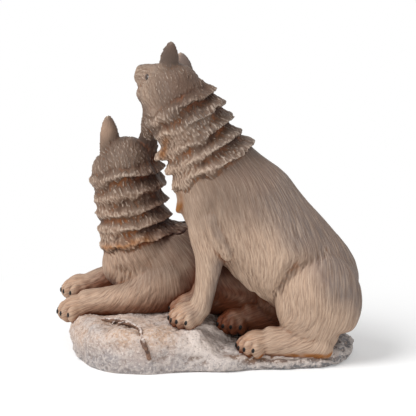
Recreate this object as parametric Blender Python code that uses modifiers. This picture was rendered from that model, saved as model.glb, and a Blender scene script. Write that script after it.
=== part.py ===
"""Two wolves on a snowy rock, cast in one piece of resin.

One wolf sits upright and looks up past the other, which lies beside it with its
head raised. The wolves point along -X, both turn their faces towards +Y, +Z is
up, and the origin lies in the flat underside. Every value is in millimetres, and
MM turns it to metres where it meets a mesh.
"""

import math

import bmesh
import bpy
from mathutils import Matrix, Vector, noise

MM = 0.001

# The sitting wolf: the plane that it faces along, how far its legs stand from it,
# and how deep its hind foot sinks in the snow.
SITTING_PLANE = -5.0
SITTING_LEG_OFFSET = 8.0
SITTING_FOOT_OFFSET = 11.0
SITTING_HAUNCH_OFFSET = 9.0
SITTING_SINK = 3.1
SITTING_SKULL = (-13.0, 2.5, 101.2)
SITTING_HEAD_TURN = -55.0
SITTING_HEAD_PITCH = 14.0
SITTING_HEAD_ROLL = -20.0
SITTING_EAR_TURN = -20.0

# The lying wolf, beside and behind it.
LYING_PLANE = 17.0
LYING_LEG_OFFSET = 11.0
LYING_HAUNCH_OFFSET = 12.0
LYING_SINK = 3.5
LYING_SKULL = (-31.0, -1.0, 60.2)
LYING_HEAD_TURN = -78.0
LYING_HEAD_PITCH = 2.0
LYING_HEAD_ROLL = 0.0
LYING_EAR_TURN = 0.0

# One head serves both.
SKULL_RADIUS = 10.5
MUZZLE_LENGTH = 14.5
MUZZLE_WIDTH = 7.8
MUZZLE_DEPTH = 7.8
EAR_WIDTH = 11.0
EAR_THICKNESS = 0.7

# Rings of long fur round each neck, like stacked collars with a hanging lip.
RUFF_PITCH = 6.05
RUFF_HEIGHT = 2.6
RUFF_RAGGEDNESS = 1.3
RUFF_TUFT = 4.5
RUFF_SPREAD = 23.0
SITTING_RUFF_AXIS = (0.54, 0.0, -0.84)
SITTING_FIRST_LIP = -84.5
SITTING_LIPS = 5
LYING_RUFF_AXIS = (0.30, 0.0, -0.95)
LYING_FIRST_LIP = -60.1
LYING_LIPS = 5

PAW_LENGTH = 15.0
PAW_WIDTH = 12.0
PAW_HEIGHT = 10.5
TOES = 4
TAIL_RADIUS = 4.5

# The rock: its height under the lying wolf and the thin edge that it falls to, then
# the corners of its plan, anticlockwise from the left end.
ROCK_CENTRE = (1.0, 4.0)
ROCK_HEIGHT = 15.5
ROCK_EDGE = 3.0
ROCK_LEDGE = 0.2
ROCK_RAMP_START = -14.0
ROCK_RAMP_LENGTH = 34.0
ROCK_ROUGHNESS = 1.6
ROCK_GRAIN = 9.0
ROCK_CRAGS = 0.035
ROCK_CRAG_LENGTH = 11.0
ROCK_PLAN = (
    (-53.0, 8.0),
    (-49.5, -10.0),
    (-41.0, -24.0),
    (-25.0, -29.0),
    (-5.0, -25.0),
    (6.0, -26.0),
    (18.0, -22.5),
    (32.0, -21.5),
    (46.0, -18.0),
    (54.0, -5.0),
    (54.5, 12.0),
    (46.0, 28.0),
    (22.0, 35.0),
    (-8.0, 37.0),
    (-34.0, 35.0),
    (-49.0, 24.0),
)

# How finely the clay is fused, and how many triangles the finished casting keeps.
WOLF_VOXEL = 0.85
FIGURE_VOXEL = 0.8
SMOOTHING_PASSES = 8
CASTING_TRIANGLES = 10500

# Each wolf's own frame has its plane at y = 0 and the ground under its feet at z = 0.
# Stations: x, y, z, half width, half depth.
SITTING_TORSO = (
    (-1.0, 0.0, 78.1, 13.0, 13.8),
    (5.8, 0.0, 64.9, 15.0, 19.8),
    (13.6, 0.0, 53.6, 16.0, 22.2),
    (23.4, 0.0, 44.6, 15.5, 20.0),
    (31.8, 0.0, 36.9, 14.5, 18.8),
    (40.8, 0.0, 26.9, 14.5, 17.5),
    (43.4, 0.0, 18.9, 12.5, 12.3),
)
SITTING_NECK = (
    (2.6, 0.0, 71.8, 14.5, 14.4),
    (-1.5, 0.0, 77.6, 13.8, 13.8),
    (-4.2, 0.0, 83.6, 13.0, 13.0),
    (-7.0, 0.0, 88.6, 12.6, 13.2),
    (-10.0, 0.5, 93.6, 12.4, 14.0),
    (-11.5, 1.0, 98.6, 11.0, 12.0),
)
SITTING_SHOULDER = 61.6
SITTING_FORE_PAW = -7.0
SITTING_HAUNCH = (41.5, 22.3)
SITTING_HAUNCH_RADII = (16.5, 8.5, 19.0)
SITTING_HIND_FOOT = (
    (44.0, 0.0, 5.6, 5.0, 5.5),
    (32.0, 0.0, 6.1, 5.2, 6.0),
    (23.0, 0.0, 6.1, 5.6, 6.0),
)
SITTING_HIND_PAW = 18.5
FAR_HIND_FOOT_SHIFT = (-7.5, 4.8)
SITTING_TAIL = (
    (44.0, 4.0, 10.6),
    (47.0, 12.0, 7.1),
    (46.0, 21.0, 6.6),
    (38.0, 28.0, 7.1),
)

# The same from the paw's sole, with z as a share of the way up to the shoulder.
SITTING_FORELEG = (
    (1.0, 0.0, 1.0, 6.5, 9.0),
    (0.5, 0.0, 0.75, 6.0, 8.0),
    (0.6, 0.0, 0.55, 5.2, 5.6),
    (-0.4, 0.0, 0.39, 4.4, 4.4),
    (-1.5, 0.0, 0.27, 4.0, 4.0),
    (-3.4, 0.0, 0.16, 4.4, 4.4),
)

LYING_TORSO = (
    (-34.0, 0.0, 22.0, 9.5, 10.5),
    (-28.0, 0.0, 20.5, 12.5, 15.5),
    (-16.3, 0.0, 19.0, 14.0, 18.5),
    (-3.0, 0.0, 17.0, 14.5, 17.0),
    (10.0, 0.0, 14.0, 14.5, 15.0),
    (21.5, 0.0, 11.0, 14.5, 13.0),
    (29.0, 0.0, 9.0, 10.5, 9.0),
)
LYING_NECK = (
    (-25.5, 0.0, 25.0, 14.0, 15.5),
    (-28.3, 0.0, 34.0, 13.0, 13.0),
    (-29.8, 0.0, 43.0, 12.5, 12.4),
    (-31.0, 0.0, 50.0, 12.5, 12.8),
    (-31.3, 0.0, 56.0, 11.5, 12.6),
)
LYING_NEAR_FORELEG = (
    (-12.0, 3.0, 10.0, 6.0, 7.0),
    (-22.0, 0.5, 8.5, 6.2, 6.6),
    (-32.0, 0.0, 8.0, 5.6, 6.0),
    (-40.0, 0.0, 7.5, 5.2, 5.6),
    (-47.0, 0.0, 7.0, 5.0, 5.2),
)
LYING_NEAR_PAW = (-50.0, 0.0)
LYING_FAR_FORELEG = (
    (-24.0, 0.0, 15.0, 6.5, 7.5),
    (-34.0, 0.0, 13.5, 5.4, 6.0),
    (-42.0, 0.0, 12.0, 4.8, 5.4),
    (-47.0, 0.0, 10.0, 4.6, 4.8),
)
LYING_FAR_PAW = (-49.8, 4.0)
LYING_HAUNCH = (17.0, 13.5)
LYING_HAUNCH_RADII = (14.0, 7.5, 13.0)
LYING_HIND_FOOT = (
    (24.0, 3.5, 3.0, 4.5, 4.5),
    (12.0, 4.0, 3.0, 4.5, 4.5),
    (4.0, 4.0, 3.0, 5.0, 4.5),
)
LYING_HIND_PAW = (-1.0, -1.5)
LYING_TAIL = (
    (28.0, 2.0, 9.0),
    (36.0, 8.0, 5.0),
    (37.0, 15.0, 1.5),
    (28.0, 19.0, 0.5),
)

# Lumps and ears in a head's own frame, which faces -X, in skull radii.
HEAD_LUMPS = (
    ((0.1, 0.0, 0.0), (1.0, 0.95, 0.95)),
    ((-0.05, -0.62, -0.43), (0.71, 0.43, 0.57)),
    ((-0.05, 0.62, -0.43), (0.71, 0.43, 0.57)),
    ((-0.67, -0.3, 0.29), (0.34, 0.23, 0.23)),
    ((-0.67, 0.3, 0.29), (0.34, 0.23, 0.23)),
    ((-0.92, 0.0, -0.62), (0.71, 0.57, 0.43)),
)
SITTING_CHEEKS = (((-0.4, 0.45, -0.82), (0.72, 0.95, 0.72)), ((0.3, 0.0, -0.25), (1.0, 1.0, 1.0)))
SITTING_EARS = (((0.02, -0.44, 0.1), (-0.17, -0.96, 1.65)), ((-0.3, 0.7, 0.16), (-0.75, 0.25, 1.23)))
LYING_CHEEKS = (((-0.1, -0.55, -0.35), (0.86, 0.74, 0.76)),)
LYING_EARS = (((-0.03, -0.61, -0.02), (-0.02, -0.7, 1.79)), ((0.24, 0.65, 0.0), (0.3, 0.78, 1.61)))


def on_spline(before, start, end, after, share):
    """A point on the smooth curve that runs through start and end."""
    return [
        0.5
        * (
            2 * q
            + (r - p) * share
            + (2 * p - 5 * q + 4 * r - s) * share**2
            + (3 * q - p - 3 * r + s) * share**3
        )
        for p, q, r, s in zip(before, start, end, after)
    ]


def smooth_path(stations, steps=4):
    """The stations with others between them, all on one smooth curve."""
    padded = [stations[0], *stations, stations[-1]]
    path = []
    for i in range(len(stations) - 1):
        for step in range(steps):
            path.append(on_spline(*padded[i : i + 4], step / steps))
    return path + [list(stations[-1])]


def rounded_ends(path, ends=(0.5, 0.85, 1.0), bulge=0.7):
    """The path with smaller stations beyond each end, so that it closes like a thumb."""
    grown = list(path)
    for last, inner, at in ((path[0], path[1], 0), (path[-1], path[-2], None)):
        outward = (Vector(last[:3]) - Vector(inner[:3])).normalized()
        reach = bulge * min(last[3], last[4])
        for share in ends:
            width = math.sqrt(max(0.02, 1 - share**2))
            centre = Vector(last[:3]) + outward * reach * share
            station = [*centre, last[3] * width, last[4] * width]
            grown.insert(0 if at == 0 else len(grown), station)
    return grown


class Clay:
    """Overlapping lumps in one mesh, in millimetres, that are fused into one skin."""

    def __init__(self, place=Matrix()):
        self.mesh = bmesh.new()
        self.place = place

    def ball(self, centre, radii, frame=Matrix()):
        shape = Matrix.Translation(centre) @ Matrix.Diagonal((*radii, 1))
        bmesh.ops.create_uvsphere(
            self.mesh,
            u_segments=20,
            v_segments=12,
            radius=1,
            matrix=self.place @ frame @ shape,
        )

    def skin(self, rings):
        """Joins rings of points into a tube and closes both ends."""
        made = [[self.mesh.verts.new(self.place @ Vector(p)) for p in ring] for ring in rings]
        for lower, upper in zip(made, made[1:]):
            for i in range(len(lower)):
                j = (i + 1) % len(lower)
                self.mesh.faces.new((lower[i], lower[j], upper[j], upper[i]))
        self.mesh.faces.new(reversed(made[0]))
        self.mesh.faces.new(made[-1])

    def tube(self, stations, side_step=0.0, frame=Matrix(), sides=20):
        """A limb: an elliptical section carried along its stations."""
        path = rounded_ends(smooth_path(stations))
        centres = [Vector((x, y + side_step, z)) for x, y, z, _, _ in path]
        turns = [2 * math.pi * k / sides for k in range(sides)]
        rings = []
        for i, (_, _, _, across, deep) in enumerate(path):
            ahead = centres[min(i + 1, len(path) - 1)] - centres[max(i - 1, 0)]
            ahead.normalize()
            side = Vector((0, 1, 0))
            side = (side - ahead * side.dot(ahead)).normalized()
            up = ahead.cross(side)
            ring = []
            for turn in turns:
                offset = side * across * math.cos(turn) + up * deep * math.sin(turn)
                ring.append(frame @ (centres[i] + offset))
            rings.append(ring)
        self.skin(rings)

    def fused(self, name, voxel, smoothing):
        """One skin round all the lumps, as a mesh object in metres."""
        bmesh.ops.recalc_face_normals(self.mesh, faces=self.mesh.faces)
        self.mesh.transform(Matrix.Scale(MM, 4))
        mesh = bpy.data.meshes.new(name)
        self.mesh.to_mesh(mesh)
        self.mesh.free()
        lump = bpy.data.objects.new(name, mesh)
        bpy.context.scene.collection.objects.link(lump)
        return remeshed(lump, voxel, smoothing)


def remeshed(lump, voxel, smoothing):
    """The object with one even skin over everything in it."""
    remesh = lump.modifiers.new("one skin", "REMESH")
    remesh.mode = "VOXEL"
    remesh.voxel_size = voxel * MM
    smooth = lump.modifiers.new("thumbed smooth", "SMOOTH")
    smooth.iterations = smoothing
    smooth.factor = 0.5
    return settled(lump)


def settled(lump):
    """The object with its modifiers made part of its mesh."""
    evaluated = lump.evaluated_get(bpy.context.evaluated_depsgraph_get())
    mesh = bpy.data.meshes.new_from_object(evaluated)
    lump.modifiers.clear()
    lump.data = mesh
    return lump


def head_frame(skull, turn, pitch, roll):
    """Where a head that is modelled at the origin, facing -X, belongs."""
    return (
        Matrix.Translation(skull)
        @ Matrix.Rotation(math.radians(turn), 4, "Z")
        @ Matrix.Rotation(math.radians(pitch), 4, "Y")
        @ Matrix.Rotation(math.radians(roll), 4, "X")
    )


def add_ear(clay, frame, root, tip, turn):
    """A cupped leaf from root to tip, that opens forward and turns a little aside."""
    root, tip = Vector(root) * SKULL_RADIUS, Vector(tip) * SKULL_RADIUS
    up = (tip - root).normalized()
    ahead = Matrix.Rotation(math.radians(turn), 3, "Z") @ Vector((-1, 0, 0))
    across = up.cross(ahead).normalized()
    behind = up.cross(across)
    rings = []
    for share in (0, 0.15, 0.3, 0.45, 0.6, 0.72, 0.82, 0.9, 0.96, 0.99):
        width = EAR_WIDTH / 2 * math.sqrt(1 - share**2.3)
        depth = EAR_THICKNESS + width * 0.6
        ring = []
        for k in range(20):
            angle = 2 * math.pi * k / 20
            back = math.cos(angle)
            if back < 0:
                back *= 0.3 - 0.8 * min(1, 3 * share)
            offset = behind * depth * back + across * width * math.sin(angle)
            ring.append(frame @ (root.lerp(tip, share) + offset))
        rings.append(ring)
    clay.skin(rings)


def add_head(clay, frame, cheeks, ears, ear_turn):
    reach = 0.8 * SKULL_RADIUS + MUZZLE_LENGTH
    wide, deep = MUZZLE_WIDTH / 2, MUZZLE_DEPTH / 2
    jaw = 0.8 * SKULL_RADIUS
    muzzle = (
        (-0.09 * reach, 0.0, 0.0, jaw, jaw),
        (-0.42 * reach, 0.0, -0.05 * deep, 1.55 * wide, 1.65 * deep),
        (-0.62 * reach, 0.0, -0.45 * deep, 1.2 * wide, 1.3 * deep),
        (-0.8 * reach, 0.0, -0.7 * deep, wide, deep),
        (-0.92 * reach, 0.0, -0.8 * deep, 0.87 * wide, 0.87 * deep),
    )
    clay.tube(muzzle, frame=frame)
    clay.ball((-0.98 * reach, 0, -0.35 * deep), (0.5 * wide, 0.6 * wide, 0.45 * deep), frame)
    skull = frame @ Matrix.Scale(SKULL_RADIUS, 4)
    for centre, radii in (*HEAD_LUMPS, *cheeks):
        clay.ball(centre, radii, skull)
    for root, tip in ears:
        add_ear(clay, frame, root, tip, ear_turn)


def add_paw(clay, centre, across, sole):
    """A pad and a row of toes that point along -X, standing at the level sole."""
    clay.ball(
        (centre, across, sole + PAW_HEIGHT / 2),
        (PAW_LENGTH * 0.36, PAW_WIDTH * 0.46, PAW_HEIGHT * 0.5),
    )
    for toe in range(TOES):
        share = (toe - (TOES - 1) / 2) / TOES
        clay.ball(
            (
                centre - PAW_LENGTH * (0.34 - 0.9 * share**2),
                across + share * PAW_WIDTH,
                sole + PAW_HEIGHT * 0.38,
            ),
            (PAW_LENGTH * 0.22, PAW_WIDTH * 0.15, PAW_HEIGHT * 0.37),
        )


def add_tail(clay, points):
    clay.tube(
        [
            (*point, TAIL_RADIUS * share, TAIL_RADIUS * share)
            for point, share in zip(points, (0.8, 1.1, 1.1, 0.6))
        ]
    )


def moved(stations, along, rise):
    """The same stations further along x and z."""
    return [(x + along, y, z + rise, *rest) for x, y, z, *rest in stations]


def add_ruff(wolf, place, axis, first_lip, lips, throat, nape):
    """Raises the skin of the neck into ragged collars, from throat to nape."""
    down = Vector(axis).normalized()
    nape, throat = Vector(nape), Vector(throat[:3])
    line = (throat - nape).normalized()
    home = place.inverted()
    for vertex in wolf.data.vertices:
        point = home @ (vertex.co / MM)
        outward = point - nape - line * (point - nape).dot(line)
        reach = outward.length
        tuft = noise.noise(point / RUFF_TUFT)
        turn = (point.dot(down) - first_lip + RUFF_RAGGEDNESS * tuft) / RUFF_PITCH
        if reach > RUFF_SPREAD or not -1 < turn < lips - 1:
            continue
        phase = turn - math.floor(turn)
        height = RUFF_HEIGHT * math.sin(math.pi * phase**1.9) ** 0.8 * (1 + 0.3 * tuft)
        point += outward / reach * height + down * 0.35 * height
        vertex.co = (place @ point) * MM


def sitting_wolf():
    """Upright, with its hind feet on the rock's low end and its forefeet up the slope."""
    ledge = ROCK_EDGE + ROCK_LEDGE * (ROCK_HEIGHT - ROCK_EDGE)
    ground = ledge - SITTING_SINK
    place = Matrix.Translation((0, SITTING_PLANE, ground))
    clay = Clay(place)
    clay.tube(SITTING_TORSO)
    clay.tube(SITTING_NECK)
    head = head_frame(
        SITTING_SKULL, SITTING_HEAD_TURN, SITTING_HEAD_PITCH, SITTING_HEAD_ROLL
    )
    add_head(clay, head, SITTING_CHEEKS, SITTING_EARS, SITTING_EAR_TURN)
    sole = rock_level(SITTING_FORE_PAW, SITTING_PLANE - SITTING_LEG_OFFSET) - ground
    leg = [
        (x, y, sole + (SITTING_SHOULDER - sole) * share, across, deep)
        for x, y, share, across, deep in SITTING_FORELEG
    ]
    for side in (-1, 1):
        clay.tube(leg, side * SITTING_LEG_OFFSET)
        add_paw(clay, SITTING_FORE_PAW, side * SITTING_LEG_OFFSET, sole)
        along, rise = (0, 0) if side < 0 else FAR_HIND_FOOT_SHIFT
        x, z = SITTING_HAUNCH
        haunch = (x + along, side * SITTING_HAUNCH_OFFSET, z + rise / 2)
        clay.ball(haunch, SITTING_HAUNCH_RADII)
        foot = side * SITTING_FOOT_OFFSET
        clay.tube(moved(SITTING_HIND_FOOT, along, rise), foot)
        add_paw(clay, SITTING_HIND_PAW + along, foot, rise)
    add_tail(clay, SITTING_TAIL)
    wolf = clay.fused("sitting_clay", WOLF_VOXEL, SMOOTHING_PASSES)
    add_ruff(
        wolf,
        place,
        SITTING_RUFF_AXIS,
        SITTING_FIRST_LIP,
        SITTING_LIPS,
        SITTING_TORSO[1],
        SITTING_SKULL,
    )
    return wolf


def lying_wolf():
    """Stretched out on top of the rock, with both forelegs over its end."""
    place = Matrix.Translation((0, LYING_PLANE, ROCK_HEIGHT - LYING_SINK))
    clay = Clay(place)
    clay.tube(LYING_TORSO)
    clay.tube(LYING_NECK)
    head = head_frame(LYING_SKULL, LYING_HEAD_TURN, LYING_HEAD_PITCH, LYING_HEAD_ROLL)
    add_head(clay, head, LYING_CHEEKS, LYING_EARS, LYING_EAR_TURN)
    for side, leg, paw in (
        (-LYING_LEG_OFFSET, LYING_NEAR_FORELEG, LYING_NEAR_PAW),
        (LYING_LEG_OFFSET, LYING_FAR_FORELEG, LYING_FAR_PAW),
    ):
        clay.tube(leg, side)
        add_paw(clay, paw[0], side, paw[1])
    x, z = LYING_HAUNCH
    clay.ball((x, LYING_HAUNCH_OFFSET, z), LYING_HAUNCH_RADII)
    clay.tube(LYING_HIND_FOOT, LYING_HAUNCH_OFFSET)
    x, z = LYING_HIND_PAW
    add_paw(clay, x, LYING_HAUNCH_OFFSET + LYING_HIND_FOOT[-1][1], z)
    add_tail(clay, LYING_TAIL)
    wolf = clay.fused("lying_clay", WOLF_VOXEL, SMOOTHING_PASSES)
    add_ruff(
        wolf,
        place,
        LYING_RUFF_AXIS,
        LYING_FIRST_LIP,
        LYING_LIPS,
        LYING_TORSO[1],
        LYING_SKULL,
    )
    return wolf


def rock_level(x, y):
    """The rock's top: high under the lying wolf, falling to a thin edge on the right."""
    fall = min(1, max(0, (x - 0.3 * y - ROCK_RAMP_START) / ROCK_RAMP_LENGTH))
    mound = max(1 - fall * fall * (3 - 2 * fall), ROCK_LEDGE)
    rough = ROCK_ROUGHNESS * noise.fractal(Vector((x, y, 0)) / ROCK_GRAIN, 0.8, 2.0, 3)
    return ROCK_EDGE + (ROCK_HEIGHT - ROCK_EDGE) * mound + rough


def rock():
    """Rings of one plan: up the steep side, then in over the uneven top."""
    plan = [ROCK_PLAN[-1], *ROCK_PLAN, *ROCK_PLAN[:2]]
    rims = []
    for i in range(len(ROCK_PLAN)):
        for step in range(5):
            rims.append(on_spline(*plan[i : i + 4], step / 5))
    cx, cy = ROCK_CENTRE
    side = ((0.95, -0.15), (0.965, 0.0), (0.99, 0.2), (1.0, 0.5), (0.985, 0.75), (0.955, 0.91))
    top = ((share, 1.0) for share in (0.91, 0.86, 0.8, 0.73, 0.64, 0.52, 0.4, 0.24, 0.08))
    clay = Clay()
    rings = []
    for share, lift in (*side, *top):
        ring = []
        for x, y in rims:
            grain = Vector((x / ROCK_CRAG_LENGTH, y / ROCK_CRAG_LENGTH, 4 * lift))
            crag = 1 + ROCK_CRAGS * noise.noise(grain)
            place = (cx + (x - cx) * share * crag, cy + (y - cy) * share * crag)
            ring.append((*place, lift * rock_level(*place)))
        rings.append(ring)
    clay.skin(rings)
    return clay.fused("rock_clay", FIGURE_VOXEL, 1)


def outer_skin(mesh):
    """Deletes every shell but the largest, so that no hollow is sealed inside."""
    left = set(mesh.verts)
    shells = []
    while left:
        reached = [left.pop()]
        shell = set(reached)
        while reached:
            for edge in reached.pop().link_edges:
                for vertex in edge.verts:
                    if vertex in left:
                        left.discard(vertex)
                        shell.add(vertex)
                        reached.append(vertex)
        shells.append(shell)
    shells.sort(key=len)
    for shell in shells[:-1]:
        bmesh.ops.delete(mesh, geom=list(shell), context="VERTS")


def resin():
    material = bpy.data.materials.new("painted_resin")
    material.use_nodes = True
    shader = material.node_tree.nodes["Principled BSDF"]
    shader.inputs["Base Color"].default_value = (0.42, 0.30, 0.22, 1)
    shader.inputs["Roughness"].default_value = 0.62
    shader.inputs["Metallic"].default_value = 0.0
    return material


def casting(lumps):
    """Fuses the clay into one solid with a flat underside, light enough to build."""
    whole = bmesh.new()
    for lump in lumps:
        whole.from_mesh(lump.data)
        bpy.data.objects.remove(lump)
    mesh = bpy.data.meshes.new("wolf_figurine")
    whole.to_mesh(mesh)
    whole.free()
    figure = bpy.data.objects.new("wolf_figurine", mesh)
    home = bpy.data.collections.new("Wolf figurine")
    bpy.context.scene.collection.children.link(home)
    home.objects.link(figure)
    remeshed(figure, FIGURE_VOXEL, 1)
    decimate = figure.modifiers.new("fewer faces", "DECIMATE")
    decimate.ratio = CASTING_TRIANGLES / (2 * len(figure.data.polygons))
    settled(figure)
    whole = bmesh.new()
    whole.from_mesh(figure.data)
    outer_skin(whole)
    cut = bmesh.ops.bisect_plane(
        whole,
        geom=whole.verts[:] + whole.edges[:] + whole.faces[:],
        plane_co=(0, 0, 0),
        plane_no=(0, 0, 1),
        clear_inner=True,
    )
    edges = [item for item in cut["geom_cut"] if isinstance(item, bmesh.types.BMEdge)]
    bmesh.ops.edgeloop_fill(whole, edges=edges)
    bmesh.ops.recalc_face_normals(whole, faces=whole.faces)
    bmesh.ops.triangulate(whole, faces=whole.faces)
    whole.to_mesh(figure.data)
    whole.free()
    figure.data.materials.append(resin())
    figure.data.shade_smooth()
    return figure


def main():
    for item in list(bpy.data.objects):
        bpy.data.objects.remove(item)
    casting([sitting_wolf(), lying_wolf(), rock()])


main()
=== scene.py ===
# %% [markdown]
# Two wolves on a snowy rock
#
# The real object is a small figurine, cast in one piece of polyester resin in a soft
# rubber mould and painted by hand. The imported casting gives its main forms. Here it is
# dressed with what the mould also catches: combed fur, ragged collars, toes, faces and a
# rough rock. All sizes are in millimetres, and MM turns them to metres.

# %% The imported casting
import math
import random

import bpy
import numpy as np
from mathutils import Matrix, Vector, noise
from mathutils.bvhtree import BVHTree
from mathutils.kdtree import KDTree


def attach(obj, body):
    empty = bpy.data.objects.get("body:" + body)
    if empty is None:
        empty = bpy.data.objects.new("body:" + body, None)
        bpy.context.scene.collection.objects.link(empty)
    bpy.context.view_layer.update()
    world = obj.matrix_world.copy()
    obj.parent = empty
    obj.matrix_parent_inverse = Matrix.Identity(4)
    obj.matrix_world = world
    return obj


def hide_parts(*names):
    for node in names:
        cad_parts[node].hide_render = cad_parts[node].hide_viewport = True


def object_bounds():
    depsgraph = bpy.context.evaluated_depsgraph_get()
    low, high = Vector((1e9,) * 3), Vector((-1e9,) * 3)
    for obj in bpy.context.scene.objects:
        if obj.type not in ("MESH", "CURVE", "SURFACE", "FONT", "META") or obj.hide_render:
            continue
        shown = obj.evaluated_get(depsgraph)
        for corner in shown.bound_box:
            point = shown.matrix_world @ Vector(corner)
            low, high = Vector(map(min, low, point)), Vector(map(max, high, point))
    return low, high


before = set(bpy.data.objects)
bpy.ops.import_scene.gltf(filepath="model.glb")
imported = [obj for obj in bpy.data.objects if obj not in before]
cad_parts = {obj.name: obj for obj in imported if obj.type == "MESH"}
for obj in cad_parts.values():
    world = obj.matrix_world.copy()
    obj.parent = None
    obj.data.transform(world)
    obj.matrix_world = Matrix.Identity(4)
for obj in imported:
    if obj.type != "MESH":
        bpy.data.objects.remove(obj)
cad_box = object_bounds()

MM = 0.001
print("casting:", [[round(v, 4) for v in corner] for corner in cad_box])

# %% [markdown]
# The tables of the clay
#
# The sculptor's clay for such a casting is built up from lumps: a barrel, a neck, limbs
# and paws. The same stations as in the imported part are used, so the finer model falls in
# the same place. Each wolf's own frame has its plane at y = 0 and the ground at z = 0.
# Stations: x, y, z, half width, half depth.

# %% Sizes of the two wolves
SITTING_PLACE = Matrix.Translation((0, -5.0, 2.4))
SITTING_SKULL = (-13.0, 2.5, 101.2)
SITTING_HEAD_ANGLES = (-55.0, 10.0, -20.0)
SITTING_TORSO = (
    (-1.0, 0.0, 78.1, 13.0, 13.8),
    (5.8, 0.0, 64.9, 15.0, 19.0),
    (14.2, 0.0, 54.1, 16.0, 21.4),
    (24.0, 0.0, 45.1, 15.5, 19.2),
    (31.8, 0.0, 36.9, 14.5, 18.8),
    (40.8, 0.0, 26.9, 14.5, 17.5),
    (43.4, 0.0, 18.9, 12.5, 12.3),
)
SITTING_NECK = (
    (2.6, 0.0, 71.8, 14.5, 14.4),
    (-1.5, 0.0, 77.6, 13.8, 13.8),
    (-4.2, 0.0, 83.6, 13.0, 13.0),
    (-7.0, 0.0, 88.6, 12.6, 13.2),
    (-10.0, 0.5, 93.6, 12.4, 14.0),
    (-11.5, 1.0, 98.6, 11.0, 12.0),
)
SITTING_SOLE = 10.6
SITTING_SHOULDER = 61.6
SITTING_FORELEG = (
    (1.0, 0.0, 1.0, 6.5, 9.0),
    (0.5, 0.0, 0.75, 6.0, 8.0),
    (0.6, 0.0, 0.55, 5.2, 5.6),
    (-0.4, 0.0, 0.39, 4.4, 4.4),
    (-1.5, 0.0, 0.27, 4.0, 4.0),
    (-3.4, 0.0, 0.16, 4.4, 4.4),
)
SITTING_HAUNCH = (41.5, 22.3)
SITTING_HAUNCH_RADII = (16.5, 9.6, 19.0)
SITTING_HIND_FOOT = (
    (44.0, 0.0, 5.6, 5.0, 5.5),
    (32.0, 0.0, 6.1, 5.2, 6.0),
    (23.0, 0.0, 7.0, 5.6, 6.2),
)
FAR_HIND_FOOT_SHIFT = (-7.5, 4.8)
SITTING_TAIL = (
    (44.0, 4.0, 10.6),
    (47.0, 12.0, 7.1),
    (46.0, 21.0, 6.6),
    (38.0, 28.0, 7.1),
)
LYING_PLACE = Matrix.Translation((0, 17.0, 12.0))
LYING_SKULL = (-31.0, -1.0, 60.2)
LYING_HEAD_ANGLES = (-78.0, 2.0, 0.0)
LYING_TORSO = (
    (-34.0, 0.0, 22.0, 9.5, 10.5),
    (-28.0, 0.0, 20.5, 12.5, 15.5),
    (-16.3, 0.0, 19.0, 14.0, 18.5),
    (-3.0, 0.0, 17.0, 14.5, 17.0),
    (10.0, 0.0, 14.0, 14.5, 15.0),
    (21.5, 0.0, 11.0, 14.5, 13.0),
    (29.0, 0.0, 9.0, 10.5, 9.0),
)
LYING_NECK = (
    (-25.5, 0.0, 25.0, 14.0, 15.5),
    (-28.3, 0.0, 34.0, 13.0, 13.0),
    (-29.8, 0.0, 43.0, 12.5, 12.4),
    (-31.0, 0.0, 50.0, 12.5, 12.8),
    (-31.3, 0.0, 56.0, 11.5, 12.6),
)
LYING_NEAR_FORELEG = (
    (-12.0, 3.0, 14.0, 8.0, 12.0),
    (-20.0, 1.5, 12.0, 7.4, 10.5),
    (-29.0, 0.0, 8.8, 6.2, 7.0),
    (-35.0, 0.0, 8.0, 5.6, 6.0),
    (-40.0, 0.0, 7.5, 5.2, 5.6),
    (-47.0, 0.0, 7.0, 5.0, 5.2),
)
LYING_FAR_FORELEG = (
    (-24.0, 0.0, 14.0, 6.5, 7.5),
    (-34.0, 0.0, 12.6, 5.4, 5.8),
    (-42.0, 0.0, 10.6, 4.8, 5.0),
    (-47.0, 0.0, 8.6, 4.6, 4.6),
)
LYING_HAUNCH = (17.0, 13.5)
LYING_HAUNCH_RADII = (14.0, 7.5, 13.0)
LYING_HIND_FOOT = (
    (24.0, 3.5, 3.0, 4.5, 4.5),
    (12.0, 4.0, 3.0, 4.5, 4.5),
    (4.0, 4.0, 3.0, 5.0, 4.5),
)
LYING_TAIL = (
    (28.0, 2.0, 9.0),
    (36.0, 8.0, 5.0),
    (37.0, 15.0, 1.5),
    (28.0, 19.0, 0.5),
)
TAIL_RADIUS = 4.5
PAW_LENGTH, PAW_WIDTH, PAW_HEIGHT, TOES = 15.0, 12.0, 10.0, 4

# %% [markdown]
# Lumps of clay
#
# A limb is a flat grid that is rolled up into a tube: one side of the grid runs round the
# limb and the other along it. Merging the seam and filling both ends closes it. Balls are
# UV spheres, stretched. A skin modifier or metaballs would be quicker, but give no
# control of an oval section.

# %% Tubes and balls
def deselect():
    if bpy.context.mode != "OBJECT":
        bpy.ops.object.mode_set(mode="OBJECT")
    bpy.ops.object.select_all(action="DESELECT")


def on_spline(before, start, end, after, share):
    """A point on the smooth curve that runs through start and end."""
    return [
        0.5
        * (
            2 * q
            + (r - p) * share
            + (2 * p - 5 * q + 4 * r - s) * share**2
            + (3 * q - p - 3 * r + s) * share**3
        )
        for p, q, r, s in zip(before, start, end, after)
    ]


def smooth_path(stations, steps=4):
    padded = [stations[0], *stations, stations[-1]]
    path = []
    for i in range(len(stations) - 1):
        for step in range(steps):
            path.append(on_spline(*padded[i : i + 4], step / steps))
    return path + [list(stations[-1])]


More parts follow.
